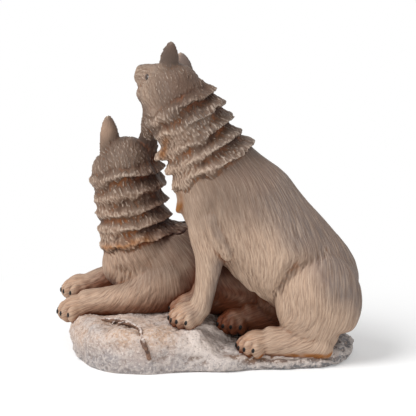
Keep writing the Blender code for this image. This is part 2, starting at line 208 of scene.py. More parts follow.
def rounded_ends(path, ends=(0.4, 0.7, 0.9, 0.98), bulge=0.7):
    """The path with smaller stations beyond each end, so that it closes like a thumb."""
    grown = list(path)
    for last, inner, at in ((path[0], path[1], 0), (path[-1], path[-2], None)):
        outward = (Vector(last[:3]) - Vector(inner[:3])).normalized()
        reach = bulge * min(last[3], last[4])
        for share in ends:
            width = math.sqrt(max(0.02, 1 - share**2))
            centre = Vector(last[:3]) + outward * reach * share
            station = [*centre, last[3] * width, last[4] * width]
            grown.insert(0 if at == 0 else len(grown), station)
    return grown


def rolled_grid(name, rings, place=Matrix()):
    """A tube through rings of points, from a grid whose seam and ends are closed."""
    deselect()
    around, along = len(rings[0]), len(rings)
    bpy.ops.mesh.primitive_grid_add(x_subdivisions=around, y_subdivisions=along - 1, size=MM)
    tube = bpy.context.object
    tube.name = name
    co = [list(place @ Vector(ring[i % around])) for ring in rings for i in range(around + 1)]
    tube.data.vertices.foreach_set("co", np.array(co).ravel() * MM)
    bpy.ops.object.mode_set(mode="EDIT")
    bpy.ops.mesh.select_all(action="SELECT")
    bpy.ops.mesh.remove_doubles(threshold=1e-7)
    bpy.ops.mesh.fill_holes(sides=0)
    bpy.ops.mesh.normals_make_consistent(inside=False)
    bpy.ops.object.mode_set(mode="OBJECT")
    return tube


def limb(stations, side_step=0.0, place=Matrix(), sides=28):
    path = rounded_ends(smooth_path(stations))
    centres = [Vector((x, y + side_step, z)) for x, y, z, _, _ in path]
    rings = []
    for i, (_, _, _, across, deep) in enumerate(path):
        ahead = centres[min(i + 1, len(path) - 1)] - centres[max(i - 1, 0)]
        ahead.normalize()
        side = Vector((0, 1, 0))
        side = (side - ahead * side.dot(ahead)).normalized()
        up = ahead.cross(side)
        ring = []
        for k in range(sides):
            turn = 2 * math.pi * k / sides
            ring.append(centres[i] + side * across * math.cos(turn) + up * deep * math.sin(turn))
        rings.append(ring)
    return rolled_grid("limb", rings, place)


def ball(centre, radii, place=Matrix()):
    deselect()
    bpy.ops.mesh.primitive_uv_sphere_add(segments=32, ring_count=20, radius=MM)
    lump = bpy.context.object
    lump.matrix_world = (
        Matrix.Scale(MM, 4) @ place @ Matrix.Translation(centre) @ Matrix.Diagonal((*radii, 1))
        @ Matrix.Scale(1 / MM, 4)
    )
    bpy.ops.object.transform_apply(location=True, rotation=True, scale=True)
    return lump


# %% [markdown]
# Heads, ears and paws
#
# A wolf's head is a ball with brows, cheeks and a tapering muzzle that ends in a blunt
# nose. The ears are cupped leaves. A paw is a pad with four toes in an arc. They are
# modelled once, in a frame that faces -X, and set where each wolf carries them.

# %% Head, ear and paw
SKULL = 10.5
MUZZLE_LENGTH, MUZZLE_WIDTH, MUZZLE_DEPTH = 13.6, 8.0, 8.4
EAR_WIDTH, EAR_THICKNESS = 9.2, 0.9
HEAD_LUMPS = (
    ((0.1, 0.0, 0.0), (1.0, 0.95, 0.95)),
    ((-0.05, -0.62, -0.43), (0.71, 0.43, 0.57)),
    ((-0.05, 0.62, -0.43), (0.71, 0.43, 0.57)),
    ((-0.67, -0.3, 0.29), (0.34, 0.23, 0.23)),
    ((-0.67, 0.3, 0.29), (0.34, 0.23, 0.23)),
    ((-0.92, 0.0, -0.62), (0.71, 0.57, 0.43)),
)
SITTING_CHEEKS = (
    ((-0.4, 0.45, -0.82), (0.72, 0.95, 0.72)),
    ((0.3, 0.0, -0.25), (1.0, 1.0, 1.0)),
)
SITTING_EARS = (
    ((0.11, -0.47, 0.10), (-0.08, -0.83, 1.58)),
    ((-0.3, 0.7, 0.16), (-0.75, 0.25, 1.23)),
)
LYING_CHEEKS = (((-0.1, -0.55, -0.35), (0.86, 0.74, 0.76)),)
LYING_EARS = (((-0.03, -0.61, -0.02), (-0.02, -0.7, 1.79)), ((0.24, 0.65, 0.0), (0.3, 0.78, 1.61)))


def head_place(place, skull, angles):
    turn, pitch, roll = (math.radians(angle) for angle in angles)
    return (
        place
        @ Matrix.Translation(skull)
        @ Matrix.Rotation(turn, 4, "Z")
        @ Matrix.Rotation(pitch, 4, "Y")
        @ Matrix.Rotation(roll, 4, "X")
    )


def ear(place, root, tip, turn):
    """A cupped leaf from root to tip, that opens forward and turns a little aside."""
    root, tip = Vector(root) * SKULL, Vector(tip) * SKULL
    up = (tip - root).normalized()
    ahead = Matrix.Rotation(math.radians(turn), 3, "Z") @ Vector((-1, 0, 0))
    across = up.cross(ahead).normalized()
    behind = up.cross(across)
    rings = []
    for share in (0, 0.1, 0.2, 0.3, 0.4, 0.5, 0.6, 0.7, 0.78, 0.85, 0.91, 0.96, 0.99):
        width = EAR_WIDTH / 2 * (1 - share**2.8) ** 0.6
        depth = EAR_THICKNESS + width * 0.45
        ring = []
        for k in range(28):
            angle = 2 * math.pi * k / 28
            back = math.cos(angle)
            if back < 0:
                back *= 0.3 - 0.8 * min(1, 3 * share)
            offset = behind * depth * back + across * width * math.sin(angle)
            ring.append(root.lerp(tip, share) + offset)
        rings.append(ring)
    return rolled_grid("ear", rings, place)


def head(place, cheeks, ears, ear_turn):
    reach = 0.8 * SKULL + MUZZLE_LENGTH
    wide, deep, jaw = MUZZLE_WIDTH / 2, MUZZLE_DEPTH / 2, 0.8 * SKULL
    muzzle = (
        (-0.09 * reach, 0.0, 0.0, jaw, jaw),
        (-0.42 * reach, 0.0, -0.05 * deep, 1.55 * wide, 1.65 * deep),
        (-0.62 * reach, 0.0, -0.2 * deep, 1.3 * wide, 1.5 * deep),
        (-0.8 * reach, 0.0, -0.2 * deep, 1.05 * wide, 1.2 * deep),
        (-0.92 * reach, 0.0, -0.35 * deep, 0.9 * wide, 1.05 * deep),
    )
    lumps = [limb(muzzle, place=place)]
    nose = (0.55 * wide, 0.7 * wide, 0.5 * deep)
    lumps.append(ball((-0.98 * reach, 0, 0.15 * deep), nose, place))
    skull = place @ Matrix.Scale(SKULL, 4)
    lumps += [ball(centre, radii, skull) for centre, radii in (*HEAD_LUMPS, *cheeks)]
    lumps += [ear(place, root, tip, ear_turn) for root, tip in ears]
    return lumps


def toes(centre, across, sole, turn):
    """The frame of each toe of a paw, fanned out in an arc round its pad."""
    heel = Matrix.Translation((centre, across, sole + PAW_HEIGHT * 0.38))
    heel = heel @ Matrix.Rotation(math.radians(turn), 4, "Z")
    places = []
    for toe in range(TOES):
        share = (toe - (TOES - 1) / 2) / TOES
        forward = PAW_LENGTH * (0.3 - 0.8 * share**2)
        at = Matrix.Translation((-forward, 0.92 * share * PAW_WIDTH, 0))
        places.append(heel @ at @ Matrix.Rotation(math.radians(-40 * share), 4, "Z"))
    return places


def paw(place, centre, across, sole, turn):
    pad = (PAW_LENGTH * 0.42, PAW_WIDTH * 0.5, PAW_HEIGHT * 0.5)
    lumps = [ball((centre, across, sole + PAW_HEIGHT / 2), pad, place)]
    toe = (PAW_LENGTH * 0.24, PAW_WIDTH * 0.155, PAW_HEIGHT * 0.38)
    return lumps + [ball((0, 0, 0), toe, place @ at) for at in toes(centre, across, sole, turn)]


def tail(place, points):
    shares = (0.8, 1.1, 1.1, 0.6)
    stations = [(*p, TAIL_RADIUS * s, TAIL_RADIUS * s) for p, s in zip(points, shares)]
    return limb(stations, place=place)


# %% [markdown]
# One skin
#
# Joined lumps still pass through each other. A voxel remesh lays one even skin round all
# of them, as a sculptor's tool does, and a Smooth modifier is the thumb that rounds the
# joins. A vertex group keeps the thumb off the toes and faces, where edges stay crisp.

# %% Fusing the lumps
def points_of(piece):
    co = np.empty(3 * len(piece.data.vertices))
    piece.data.vertices.foreach_get("co", co)
    return co.reshape(-1, 3) / MM


def points_in(piece, place):
    """The piece's points in the frame of a place, in mm."""
    home = np.array(place.inverted())
    return points_of(piece) @ home[:3, :3].T + home[:3, 3]


def normals_of(piece):
    normal = np.empty(3 * len(piece.data.vertices))
    piece.data.vertex_normals.foreach_get("vector", normal)
    return normal.reshape(-1, 3)


def set_points(piece, points):
    piece.data.vertices.foreach_set("co", (points * MM).ravel())
    piece.data.update()


def one_skin(name, lumps, voxel, thumb, crisp=()):
    """The lumps as one mesh. crisp lists (centre, radius) where little is smoothed away."""
    deselect()
    for lump in lumps:
        lump.select_set(True)
    bpy.context.view_layer.objects.active = lumps[0]
    bpy.ops.object.join()
    piece = bpy.context.object
    piece.name = name
    piece.data.name = name
    remesh = piece.modifiers.new("one skin", "REMESH")
    remesh.mode = "VOXEL"
    remesh.voxel_size = voxel * MM
    bpy.ops.object.modifier_apply(modifier=remesh.name)
    points = points_of(piece)
    soft = np.ones(len(points))
    for centre, radius in crisp:
        far = np.linalg.norm(points - np.array(centre), axis=1) / radius
        soft = np.minimum(soft, np.clip(2 * far - 1, 0, 1))
    group = piece.vertex_groups.new(name="soft")
    for weight in np.unique(np.round(soft, 1)):
        where = np.flatnonzero(np.round(soft, 1) == weight).tolist()
        group.add(where, float(weight), "REPLACE")
    passes = round(4 * (thumb / voxel) ** 2)
    for group_name, count in (("", max(2, passes // 6)), ("soft", passes)):
        smooth = piece.modifiers.new("thumb", "SMOOTH")
        smooth.iterations = count
        smooth.factor = 0.5
        smooth.vertex_group = group_name
        bpy.ops.object.modifier_apply(modifier=smooth.name)
    piece.vertex_groups.clear()
    print(name, len(piece.data.polygons), "faces")
    return piece


# %% The sitting wolf in smooth clay
WOLF_VOXEL = 0.42
THUMB = 1.15


def crisp_spots(place, paws, skull, ears):
    """The toes and the ears, where little is smoothed away."""
    spots = [(place @ Vector((x - 4, y, z + 4)), 12) for x, y, z, _ in paws]
    return spots + [(skull @ (Vector(tip) * SKULL * 0.8), 11) for _, tip in ears]


sitting_head = head_place(SITTING_PLACE, SITTING_SKULL, SITTING_HEAD_ANGLES)
lumps = [limb(SITTING_TORSO, place=SITTING_PLACE), limb(SITTING_NECK, place=SITTING_PLACE)]
lumps += head(sitting_head, SITTING_CHEEKS, SITTING_EARS, -20.0)
# Loose fur that hangs under the sitting wolf's jaw.
SITTING_JOWL = (
    (-22.6, 15.5, 102.0, 5.2, 4.6),
    (-21.4, 14.0, 98.0, 5.4, 5.0),
    (-20.0, 11.0, 94.0, 5.8, 5.0),
    (-19.4, 9.0, 90.0, 6.0, 5.2),
    (-20.6, 8.0, 87.0, 5.4, 4.8),
    (-21.6, 7.5, 83.0, 3.8, 3.3),
)
# Tufts at the throat and chest, at both elbows and along the belly.
SITTING_TUFTS = (
    ((-14, 2, 94, 7, 6), (-17, 3, 90, 6, 5.5), (-17.5, 4, 85.5, 5, 4.2)),
    ((-9, -3, 80, 6, 5), (-14, -3.5, 78.5, 4, 3.4), (-18.5, -3, 76.0, 2.0, 1.7)),
    ((-6, -4, 78, 6, 5), (-11.5, -4, 74, 4, 3.4), (-14.8, -4, 70.5, 1.8, 1.6)),
    ((-4, -3, 72, 6, 5), (-9.0, -3, 68, 4, 3.2), (-12.2, -3, 63.5, 1.8, 1.5)),
    ((-6, -2, 65, 4, 3), (-9.2, -3, 60.5, 3, 2.2), (-11.2, -3, 55.2, 1.4, 1.2)),
    (
        (0.5, -11, 54, 5, 4.5),
        (3, -12.2, 48, 4.4, 3.6),
        (6.2, -12.6, 42, 2.8, 2.3),
        (7.4, -12, 38.8, 1.4, 1.2),
    ),
    (
        (0.5, 11, 54, 5, 4.5),
        (3, 12.2, 48, 4.4, 3.6),
        (6.2, 12.6, 42, 2.8, 2.3),
        (7.4, 12, 38.8, 1.4, 1.2),
    ),
    ((8, -4, 40, 5, 3), (9.6, -4.5, 34.2, 2.6, 2.2), (11.4, -4.5, 30.4, 1.5, 1.2)),
    ((12, -4, 36, 6, 4), (14.4, -4.5, 30, 3.4, 2.6), (16.8, -4.5, 26.2, 1.7, 1.3)),
    ((18, -4, 32, 6, 4), (20, -4.5, 26.4, 3.2, 2.4), (22.2, -4.5, 22.4, 1.6, 1.2)),
)
lumps += [limb(stations, place=SITTING_PLACE) for stations in (SITTING_JOWL, *SITTING_TUFTS)]
sitting_leg = [
    (x, y, SITTING_SOLE + (SITTING_SHOULDER - SITTING_SOLE) * share, across, deep)
    for x, y, share, across, deep in SITTING_FORELEG
]
sitting_paws = []
for side in (-1, 1):
    lumps.append(limb(sitting_leg, side * 8.0, SITTING_PLACE))
    sitting_paws.append((-7.0, side * 8.0, SITTING_SOLE + 1, 40 if side < 0 else 0))
    along, rise = (0, 0) if side < 0 else FAR_HIND_FOOT_SHIFT
    x, z = SITTING_HAUNCH
    lumps.append(
        ball((x + along, side * 9.0, z + rise / 2), SITTING_HAUNCH_RADII, SITTING_PLACE)
    )
    foot = [(x + along, y, z + rise, *rest) for x, y, z, *rest in SITTING_HIND_FOOT]
    lumps.append(limb(foot, side * 11.0, SITTING_PLACE))
    sitting_paws.append((18.5 + along, side * 11.0, max(rise, 1.6), 38 if side < 0 else 60))
for spot in sitting_paws:
    lumps += paw(SITTING_PLACE, *spot)
lumps.append(tail(SITTING_PLACE, SITTING_TAIL))
lumps.append(ball((50.3, 3.0, 15.8), (6.8, 8.5, 5.2), SITTING_PLACE))
crisp = crisp_spots(SITTING_PLACE, sitting_paws, sitting_head, SITTING_EARS)
sitting = one_skin("sitting_wolf", lumps, WOLF_VOXEL, THUMB, crisp)

# %% The lying wolf in smooth clay
lying_head = head_place(LYING_PLACE, LYING_SKULL, LYING_HEAD_ANGLES)
lumps = [limb(LYING_TORSO, place=LYING_PLACE), limb(LYING_NECK, place=LYING_PLACE)]
lumps += head(lying_head, LYING_CHEEKS, LYING_EARS, 0.0)
lumps.append(limb(LYING_NEAR_FORELEG, -11.0, LYING_PLACE))
lumps.append(limb(LYING_FAR_FORELEG, 11.0, LYING_PLACE))
lying_paws = [(-50.0, -11.0, 0.0, 25), (-49.8, 11.0, 3.0, 20), (-1.0, 16.0, -1.5, 0)]
for spot in lying_paws:
    lumps += paw(LYING_PLACE, *spot)
x, z = LYING_HAUNCH
lumps.append(ball((x, 12.0, z), LYING_HAUNCH_RADII, LYING_PLACE))
lumps.append(limb(LYING_HIND_FOOT, 12.0, LYING_PLACE))
lumps.append(tail(LYING_PLACE, LYING_TAIL))
crisp = crisp_spots(LYING_PLACE, lying_paws, lying_head, LYING_EARS)
lying = one_skin("lying_wolf", lumps, WOLF_VOXEL, THUMB, crisp)

# %% [markdown]
# Ragged collars
#
# The winter ruff is carved as stacked tiers, each with a hanging lip of locks. A tier's
# height is a wave along the neck that rises slowly and drops off at the lip. Noise shifts
# the lip to and fro, so that it hangs in tufts, and the top of each tier leans down over
# the groove below.

# %% Collars round both necks
RUFF_PITCH = 6.15
RUFF_HEIGHT = 2.6
RUFF_SPREAD = 23.0


def noise_at(points, scale, shift=0.0):
    """Smooth noise from -1 to 1 at every point, with lumps about scale mm wide."""
    offset = Vector((shift, 0.37 * shift, 0.71 * shift))
    return np.array([noise.noise(Vector(p) / scale + offset) for p in points])


def collars(wolf, place, axis, first_lip, lips, throat, nape, fading, slack):
    down = np.array(Vector(axis).normalized())
    points = points_in(wolf, place)
    nape, throat = np.array(nape), np.array(throat[:3])
    line = (throat - nape) / np.linalg.norm(throat - nape)
    away = points - nape
    outward = away - np.outer(away @ line, line)
    reach = np.linalg.norm(outward, axis=1)
    near = np.flatnonzero(reach < RUFF_SPREAD)
    tuft, lock, wander = (np.zeros(len(points)) for _ in range(3))
    tuft[near] = noise_at(points[near], 4.5)
    lock[near] = noise_at(points[near], 1.8, 31.0)
    wander[near] = noise_at(points[near], 11.0, 57.0)
    turn = (points @ down - first_lip + 1.5 * tuft + 0.5 * lock + 1.6 * wander) / RUFF_PITCH
    inside = (reach < RUFF_SPREAD) & (turn > -1) & (turn < lips - 1)
    phase = turn - np.floor(turn)
    uneven = np.clip(0.95 + 0.45 * tuft + 0.2 * lock + 0.5 * wander, 0.3, 1.3)
    outward /= reach[:, None]
    behind = outward @ np.array((-down[2], 0, down[0]))
    wave = 0.5 - 0.5 * np.cos(2 * np.pi * phase ** (1.15 + 0.5 * np.clip(behind, 0, 1)))
    for groove, start, end, amount in fading:
        faded = amount * np.clip((start - behind) / (start - end), 0, 1)
        faded *= np.clip(1.2 - 2 * np.abs(turn - groove), 0, 1)
        wave += (0.8 - wave) * faded * (wave < 0.8)
    height = RUFF_HEIGHT * wave * uneven * np.clip(0.78 + slack * behind, 0.2, 1.1)
    height[~inside] = 0
    lean = 0.12 + 0.5 * np.clip(behind, 0, 1)
    points += outward * height[:, None] + np.outer(lean * height, down)
    back = np.array(place)
    set_points(wolf, points @ back[:3, :3].T + back[:3, 3])
    return inside, np.where(inside, 1 - wave, 0)


sitting_ruff, sitting_valley = collars(
    sitting,
    SITTING_PLACE,
    (0.54, 0, -0.84),
    -83.4,
    5,
    SITTING_TORSO[1],
    SITTING_SKULL,
    ((1, 0.8, 0.4, 0.9), (3, -0.1, -0.5, 0.7)),
    0.55,
)
lying_ruff, lying_valley = collars(
    lying,
    LYING_PLACE,
    (0.30, 0, -0.95),
    -60.1,
    5,
    LYING_TORSO[1],
    LYING_SKULL,
    ((1, -0.2, -0.7, 0.5), (3, -0.1, -0.6, 0.8)),
    0.2,
)
print("collar points:", int(sitting_ruff.sum()), int(lying_ruff.sum()))

# %% [markdown]
# Folds between muscles
#
# Where the thigh lies on the belly and the upper arm on the ribs, the clay has a soft
# step. A fold is a path over the flank: on its right-hand side the form is lifted, with a
# slow fall away from the step, and just before the step the skin sinks.

# %% Drawing folds
def nearest_on(points, path):
    """For each point, how far a path is, on which side, and how far along (0 to 1)."""
    far = np.full(len(points), 1e9)
    side, along = np.zeros(len(points)), np.zeros(len(points))
    for i, (start, end) in enumerate(zip(path, path[1:])):
        start, run = np.array(start, float), np.array(end, float) - np.array(start, float)
        away = points - start
        share = np.clip(away @ run / (run @ run), 0, 1)
        distance = np.linalg.norm(away - np.outer(share, run), axis=1)
        nearer = distance < far
        far[nearer] = distance[nearer]
        along[nearer] = ((i + share) / (len(path) - 1))[nearer]
        if len(run) == 2:
            side[nearer] = np.sign(away[:, 0] * run[1] - away[:, 1] * run[0])[nearer]
    return far, side, along


def fold(wolf, place, path, flank, width, lift, sink):
    """Steps the skin along a path of (x, z) on one flank, -1 or 1, of the wolf."""
    points = points_in(wolf, place)
    normals = normals_of(wolf)
    far, side, along = nearest_on(points[:, (0, 2)], path)
    signed = far * side / width
    ramp = np.clip((signed + 1) / 2, 0, 1)
    slope = np.exp(-((np.maximum(signed - 1, 0) / 3.5) ** 2))
    height = lift * ramp * ramp * (3 - 2 * ramp) * slope
    height -= sink * np.exp(-((signed + 0.9) ** 2))
    fading = np.clip(along / 0.35, 0, 1) * np.clip((1 - along) / 0.25, 0, 1)
    facing = np.clip(2 * flank * normals[:, 1] - 0.2, 0, 1) * (flank * points[:, 1] > 4)
    set_points(wolf, points_of(wolf) + normals * (height * fading * facing)[:, None])


THIGH_FOLD = (
    (44, 42.5),
    (38, 41),
    (31.5, 38.6),
    (28.3, 35.2),
    (25.8, 30.7),
    (24.6, 25),
    (25, 20),
)
ELBOW_FOLD = ((9, 37), (7.2, 42), (6, 47), (4, 53), (0, 58))
for side in (-1, 1):
    fold(sitting, SITTING_PLACE, THIGH_FOLD, side, 2.5, 1.8, 0.35)
    fold(sitting, SITTING_PLACE, ELBOW_FOLD, side, 2.0, 0.5, 0.7)
fold(lying, LYING_PLACE, ((4, 13), (3, 20), (6, 26)), 1, 2.0, 1.0, 0.6)

# %% [markdown]
# Under the tail
#
# The tail leaves the rump above the rock, and a notch stays open under its root. A knife
# would take it out of the clay. Here the skin sinks along a short line behind x = 44,
# because a cut with a solid would leave a hard rim.

# %% The notch under the tail
TAIL_NOTCH = ((56, 5.5), (50.5, 8.0))
NOTCH_WIDTH, NOTCH_DEPTH = 3.2, 2.6
points = points_in(sitting, SITTING_PLACE)
under_tail = nearest_on(points[:, (0, 2)], TAIL_NOTCH)[0] / NOTCH_WIDTH
sink = NOTCH_DEPTH * np.exp(-(under_tail**2)) * (points[:, 0] > 44)
set_points(sitting, points_of(sitting) - normals_of(sitting) * sink[:, None])
print("notch under the tail:", int((sink > 0.5).sum()), "points, depth", round(sink.max(), 1))

# %% [markdown]
# Eye sockets and mouths
#
# Eyes sit in sockets, and the mouth is one line drawn with a point from under the nose
# back along each cheek.

# %% Pressing the faces
EYE = (-10.2, 4.9, -0.2)
MOUTH = ((-21.5, 0, -5.2), (-19.5, 2.6, -5.6), (-15, 4.2, -5.6), (-11, 5.6, -6.4))


def press_face(wolf, place):
    points = points_in(wolf, place)
    sink = np.zeros(len(points))
    for side in (-1, 1):
        x, y, z = EYE
        sink += 0.8 * np.exp(-np.sum((points - (x, side * y, z)) ** 2, axis=1) / 3.6)
        line = [(x, side * y, z) for x, y, z in MOUTH]
        sink = np.maximum(sink, 0.55 * np.exp(-((nearest_on(points, line)[0] / 0.75) ** 2)))
    set_points(wolf, points_of(wolf) - normals_of(wolf) * sink[:, None])


press_face(sitting, sitting_head)
press_face(lying, lying_head)

# %% [markdown]
# Combed fur
#
# On the real figurine every lock is a groove, pressed into the clay with a pointed tool.
# A bump map could fake it, but the outline and the paint in the grooves would miss it. So
# each groove is a short stroke that pushes the points near it in, and lifts them beside
# it. The strokes follow comb marks: places on the coat with the way that the hair lies.

# %% The way the hair lies
def both_sides(marks):
    """Each mark with its mirror image on the other flank."""
    grown = []
    for (x, y, z), way in marks:
        grown.append(((x, y, z), way))
        if y:
            grown.append(((x, -y, z), (way[0], -way[1], way[2])))
    return grown


def head_marks(place, home):
    """The comb marks of a head, from the nose back over the skull, in the wolf's frame."""
    marks = both_sides((
        ((-23, 0, -4), (1, 0, 0.1)),
        ((-18, 3, 2), (1, 0.1, 0.3)),
        ((-14, 5, -5), (1, 0.1, -0.3)),
        ((-6, 4, 9), (1, 0.1, 0.3)),
        ((-3, 10, -4), (0.75, 0.1, -0.65)),
        ((4, 4, 11), (0.9, 0.1, -0.3)),
        ((2, 6, 20), (0.1, 0, 1)),
        ((12, 0, -2), (0.4, 0, -0.9)),
    ))
    turn = (home.inverted() @ place).to_3x3()
    move = home.inverted() @ place
    return [(tuple(move @ Vector(p)), tuple(turn @ Vector(way))) for p, way in marks]


SITTING_COMB = both_sides((
    ((5, 9, 85), (0.54, 0, -0.84)),
    ((-5, 9, 92), (0.54, 0, -0.84)),
    ((8, 9, 74), (0.5, 0, -0.86)),
    ((-14, 8, 80), (0.35, 0, -0.94)),
    ((-10, 0, 66), (0.1, 0, -1)),
    ((20, 0, 73), (0.65, 0, -0.75)),
    ((35, 0, 62), (0.6, 0, -0.8)),
    ((46, 0, 50), (0.52, 0, -0.85)),
    ((55, 0, 36), (0.3, 0, -0.95)),
    ((58, 0, 20), (-0.1, 0, -1)),
    ((12, 15, 62), (0.03, 0, -1)),
    ((22, 16, 48), (0.05, 0, -1)),
    ((34, 15, 44), (0.12, 0, -1)),
    ((42, 16, 28), (-0.04, 0, -1)),
    ((33, 15, 39), (-0.45, 0, -0.9)),
    ((27, 15, 31), (-0.3, 0, -0.95)),
    ((20, 4, 27), (0.2, 0, -1)),
    ((2, 12, 45), (0.06, 0, -1)),
    ((0, 12, 28), (-0.04, 0, -1)),
    ((-7, 10, 14), (-0.8, 0, -0.5)),
    ((46, 14, 10), (-0.3, 0, -0.95)),
    ((32, 14, 7), (-1, 0, -0.25)),
    ((20, 14, 6), (-1, 0, -0.3)),
)) + [
    ((47, 12, 9), (0.2, 0.95, 0)),
    ((46, 21, 9), (-0.2, 1, 0)),
    ((38, 28, 9), (-1, 0.3, 0)),
] + head_marks(sitting_head, SITTING_PLACE)
LYING_COMB = both_sides((
    ((-27, 12, 52), (0.3, 0, -0.95)),
    ((-25, 12, 40), (0.3, 0, -0.95)),
    ((-24, 12, 60), (0.3, 0, -0.95)),
    ((-10, 0, 38), (0.95, 0, -0.15)),
    ((10, 0, 30), (1, 0, -0.25)),
    ((25, 0, 20), (0.8, 0, -0.6)),
    ((-30, 10, 27), (0.3, 0, -0.95)),
    ((-16, 14, 26), (0.42, 0, -0.9)),
    ((-3, 14, 22), (0.5, 0, -0.87)),
    ((10, 14, 18), (0.4, 0, -0.9)),
    ((24, 13, 12), (0.1, 0, -1)),
    ((-14, 14, 14), (0.1, 0, -1)),
    ((-22, 14, 10), (-0.45, 0, -0.9)),
    ((-33, 14, 9), (-0.6, 0, -0.8)),
    ((-46, 14, 9), (-0.95, 0, -0.3)),
    ((12, 18, 4), (-1, 0, -0.2)),
)) + [
    ((36, 8, 7), (0.5, 0.8, -0.2)),
    ((37, 15, 4), (-0.2, 1, -0.1)),
    ((28, 19, 3), (-1, 0.2, 0)),
] + head_marks(lying_head, LYING_PLACE)


def combed(wolf, place, comb):
    """The way of the hair at every point, along the surface, from the nearest marks."""
    points = points_in(wolf, place)
    total = np.zeros_like(points)
    for at, way in comb:
        near = np.sum((points - np.array(at)) ** 2, axis=1) + 4
        total += np.outer(near**-2.0, np.array(Vector(way).normalized()))
    normals = normals_of(wolf)
    total -= normals * np.sum(total * normals, axis=1)[:, None]
    length = np.linalg.norm(total, axis=1)
    return total / np.maximum(length, 1e-12)[:, None]


# %% Pressing the grooves
def pressed(wolf, flow, where, count, length, width, depth, stray, seed):
    """Presses grooves of about this length, width and depth in mm among the points where."""
    chance = random.Random(seed)
    points, normals = points_of(wolf), normals_of(wolf)
    low, high = points[where].min(axis=0) - length, points[where].max(axis=0) + length
    close = np.flatnonzero(np.all((points > low) & (points < high), axis=1))
    tree = KDTree(len(close))
    for i in close:
        tree.insert(points[i], i)
    tree.balance()
    depths = np.zeros(len(points))
    for _ in range(count):
        i = where[chance.randrange(len(where))]
        normal = normals[i]
        across = np.cross(normal, flow[i])
        angle = math.radians(chance.gauss(0, stray))
        ahead = flow[i] * math.cos(angle) + across * math.sin(angle)
        across = np.cross(normal, ahead)
        half = length / 2 * chance.uniform(0.6, 1.3)
        wide = width / 2 * chance.uniform(0.8, 1.3)
        near = [k for _, k, _ in tree.find_range(points[i], half)]
        offset = points[near] - points[i]
        run = offset @ ahead / half
        bow = wide * math.sin(chance.uniform(0, 6)) * (1 - run**2)
        aside = (offset @ across + bow) / wide
        taper = np.clip(1 - run**2, 0, 1) * np.clip(1.2 - 0.8 * run, 0, 1)
        facing = np.clip(normals[near] @ normal, 0, 1)
        profile = 0.45 * np.exp(-((np.abs(aside) - 1.5) ** 2) * 2.5) - np.exp(-(aside**2))
        depths[near] += profile * taper * facing * chance.uniform(0.5, 1)
    depths = np.clip(depths, -2.2, 1.4) * depth
    set_points(wolf, points + normals * depths[:, None])
    return depths / depth


def in_head(piece, place, reach):
    """Which points lie in a head, within reach of its skull's middle."""
    return np.linalg.norm(points_of(piece) - np.array(place.translation), axis=1) < reach


def in_ears(piece, place, ears):
    """Which points lie in the free part of an ear."""
    points = points_of(piece)
    inside = np.zeros(len(points), dtype=bool)
    for root, tip in ears:
        root, tip = (np.array(place @ (Vector(end) * SKULL)) for end in (root, tip))
        along = (points - root) @ (tip - root) / ((tip - root) @ (tip - root))
        nearest = root + np.outer(np.clip(along, 0, 1), tip - root)
        inside |= (along > 0.45) & (np.linalg.norm(points - nearest, axis=1) < 6)
    return inside


def comb_coat(wolf, place, comb, ruff, skull, ears, seed):
    flow = combed(wolf, place, comb)
    bare = in_ears(wolf, skull, ears)
    nose = np.array(skull @ Vector((-21, 0, -1)))
    bare |= np.linalg.norm(points_of(wolf) - nose, axis=1) < 4
    face = in_head(wolf, skull, 21) & ~ruff & ~bare
    coat = ~ruff & ~face & ~bare
    pressed(wolf, flow, np.flatnonzero(coat), 8200, 6.5, 0.75, 0.07, 5, seed)
    pressed(wolf, flow, np.flatnonzero(ruff), 4200, 3.4, 0.85, 0.22, 28, seed + 1)
    pressed(wolf, flow, np.flatnonzero(face), 1500, 3.2, 0.8, 0.14, 20, seed + 2)
    return flow


def tufts(wolf, flow, place, path, flank, reach, count, length, depth, seed):
    """Deeper strokes near a path of (x, z) on one flank."""
    points = points_in(wolf, place)
    near = (nearest_on(points[:, (0, 2)], path)[0] < reach) & (flank * points[:, 1] > 4)
    pressed(wolf, flow, np.flatnonzero(near), count, length, 1.1, depth, 12, seed)


sitting_flow = comb_coat(
    sitting, SITTING_PLACE, SITTING_COMB, sitting_ruff, sitting_head, SITTING_EARS, 1
)
lying_flow = comb_coat(
    lying, LYING_PLACE, LYING_COMB, lying_ruff, lying_head, LYING_EARS, 5
)
THIGH_TOP, BELLY = ((44, 41), (36, 39.5), (30, 35.5)), ((17, 34), (23, 29), (27, 25))
for side in (-1, 1):
    for path, *strokes in (
        (THIGH_TOP, side, 2.5, 90, 5.5, 0.08, 11),
        (BELLY, side, 2.5, 60, 5.0, 0.09, 12),
        (ELBOW_FOLD[:3], side, 2.0, 40, 5.0, 0.09, 13),
    ):
        tufts(sitting, sitting_flow, SITTING_PLACE, path, *strokes)
LYING_CHEST = ((-33, 24), (-29, 17), (-24, 12))
tufts(lying, lying_flow, LYING_PLACE, LYING_CHEST, -1, 4, 110, 6.5, 0.12, 14)
print("grooves pressed")

# %% [markdown]
# The rock
#
# The base is one lump of rock under snow: high and steep on the left, with a thin edge on
# the right where the sitting wolf's tail rests. Rings of its plan are skinned from the
# foot up and in over the top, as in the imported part, and then the fine skin is roughened:
# soft swells where snow lies, sharp ridges where the stone shows.

# %% Rock under snow
ROCK_CENTRE = (1.0, 4.0)
ROCK_HEIGHT, ROCK_EDGE, ROCK_LEDGE = 15.5, 3.0, 0.2
ROCK_PLAN = (
    (-53.0, 8.0),
    (-49.5, -10.0),
    (-41.0, -24.0),
    (-25.0, -29.0),
    (-5.0, -25.0),
    (6.0, -26.0),
    (18.0, -22.5),
    (32.0, -21.5),
    (46.0, -18.0),
    (54.0, -5.0),
    (54.5, 12.0),
    (46.0, 28.0),
    (22.0, 35.0),
    (-8.0, 37.0),
    (-34.0, 35.0),
    (-49.0, 24.0),
)


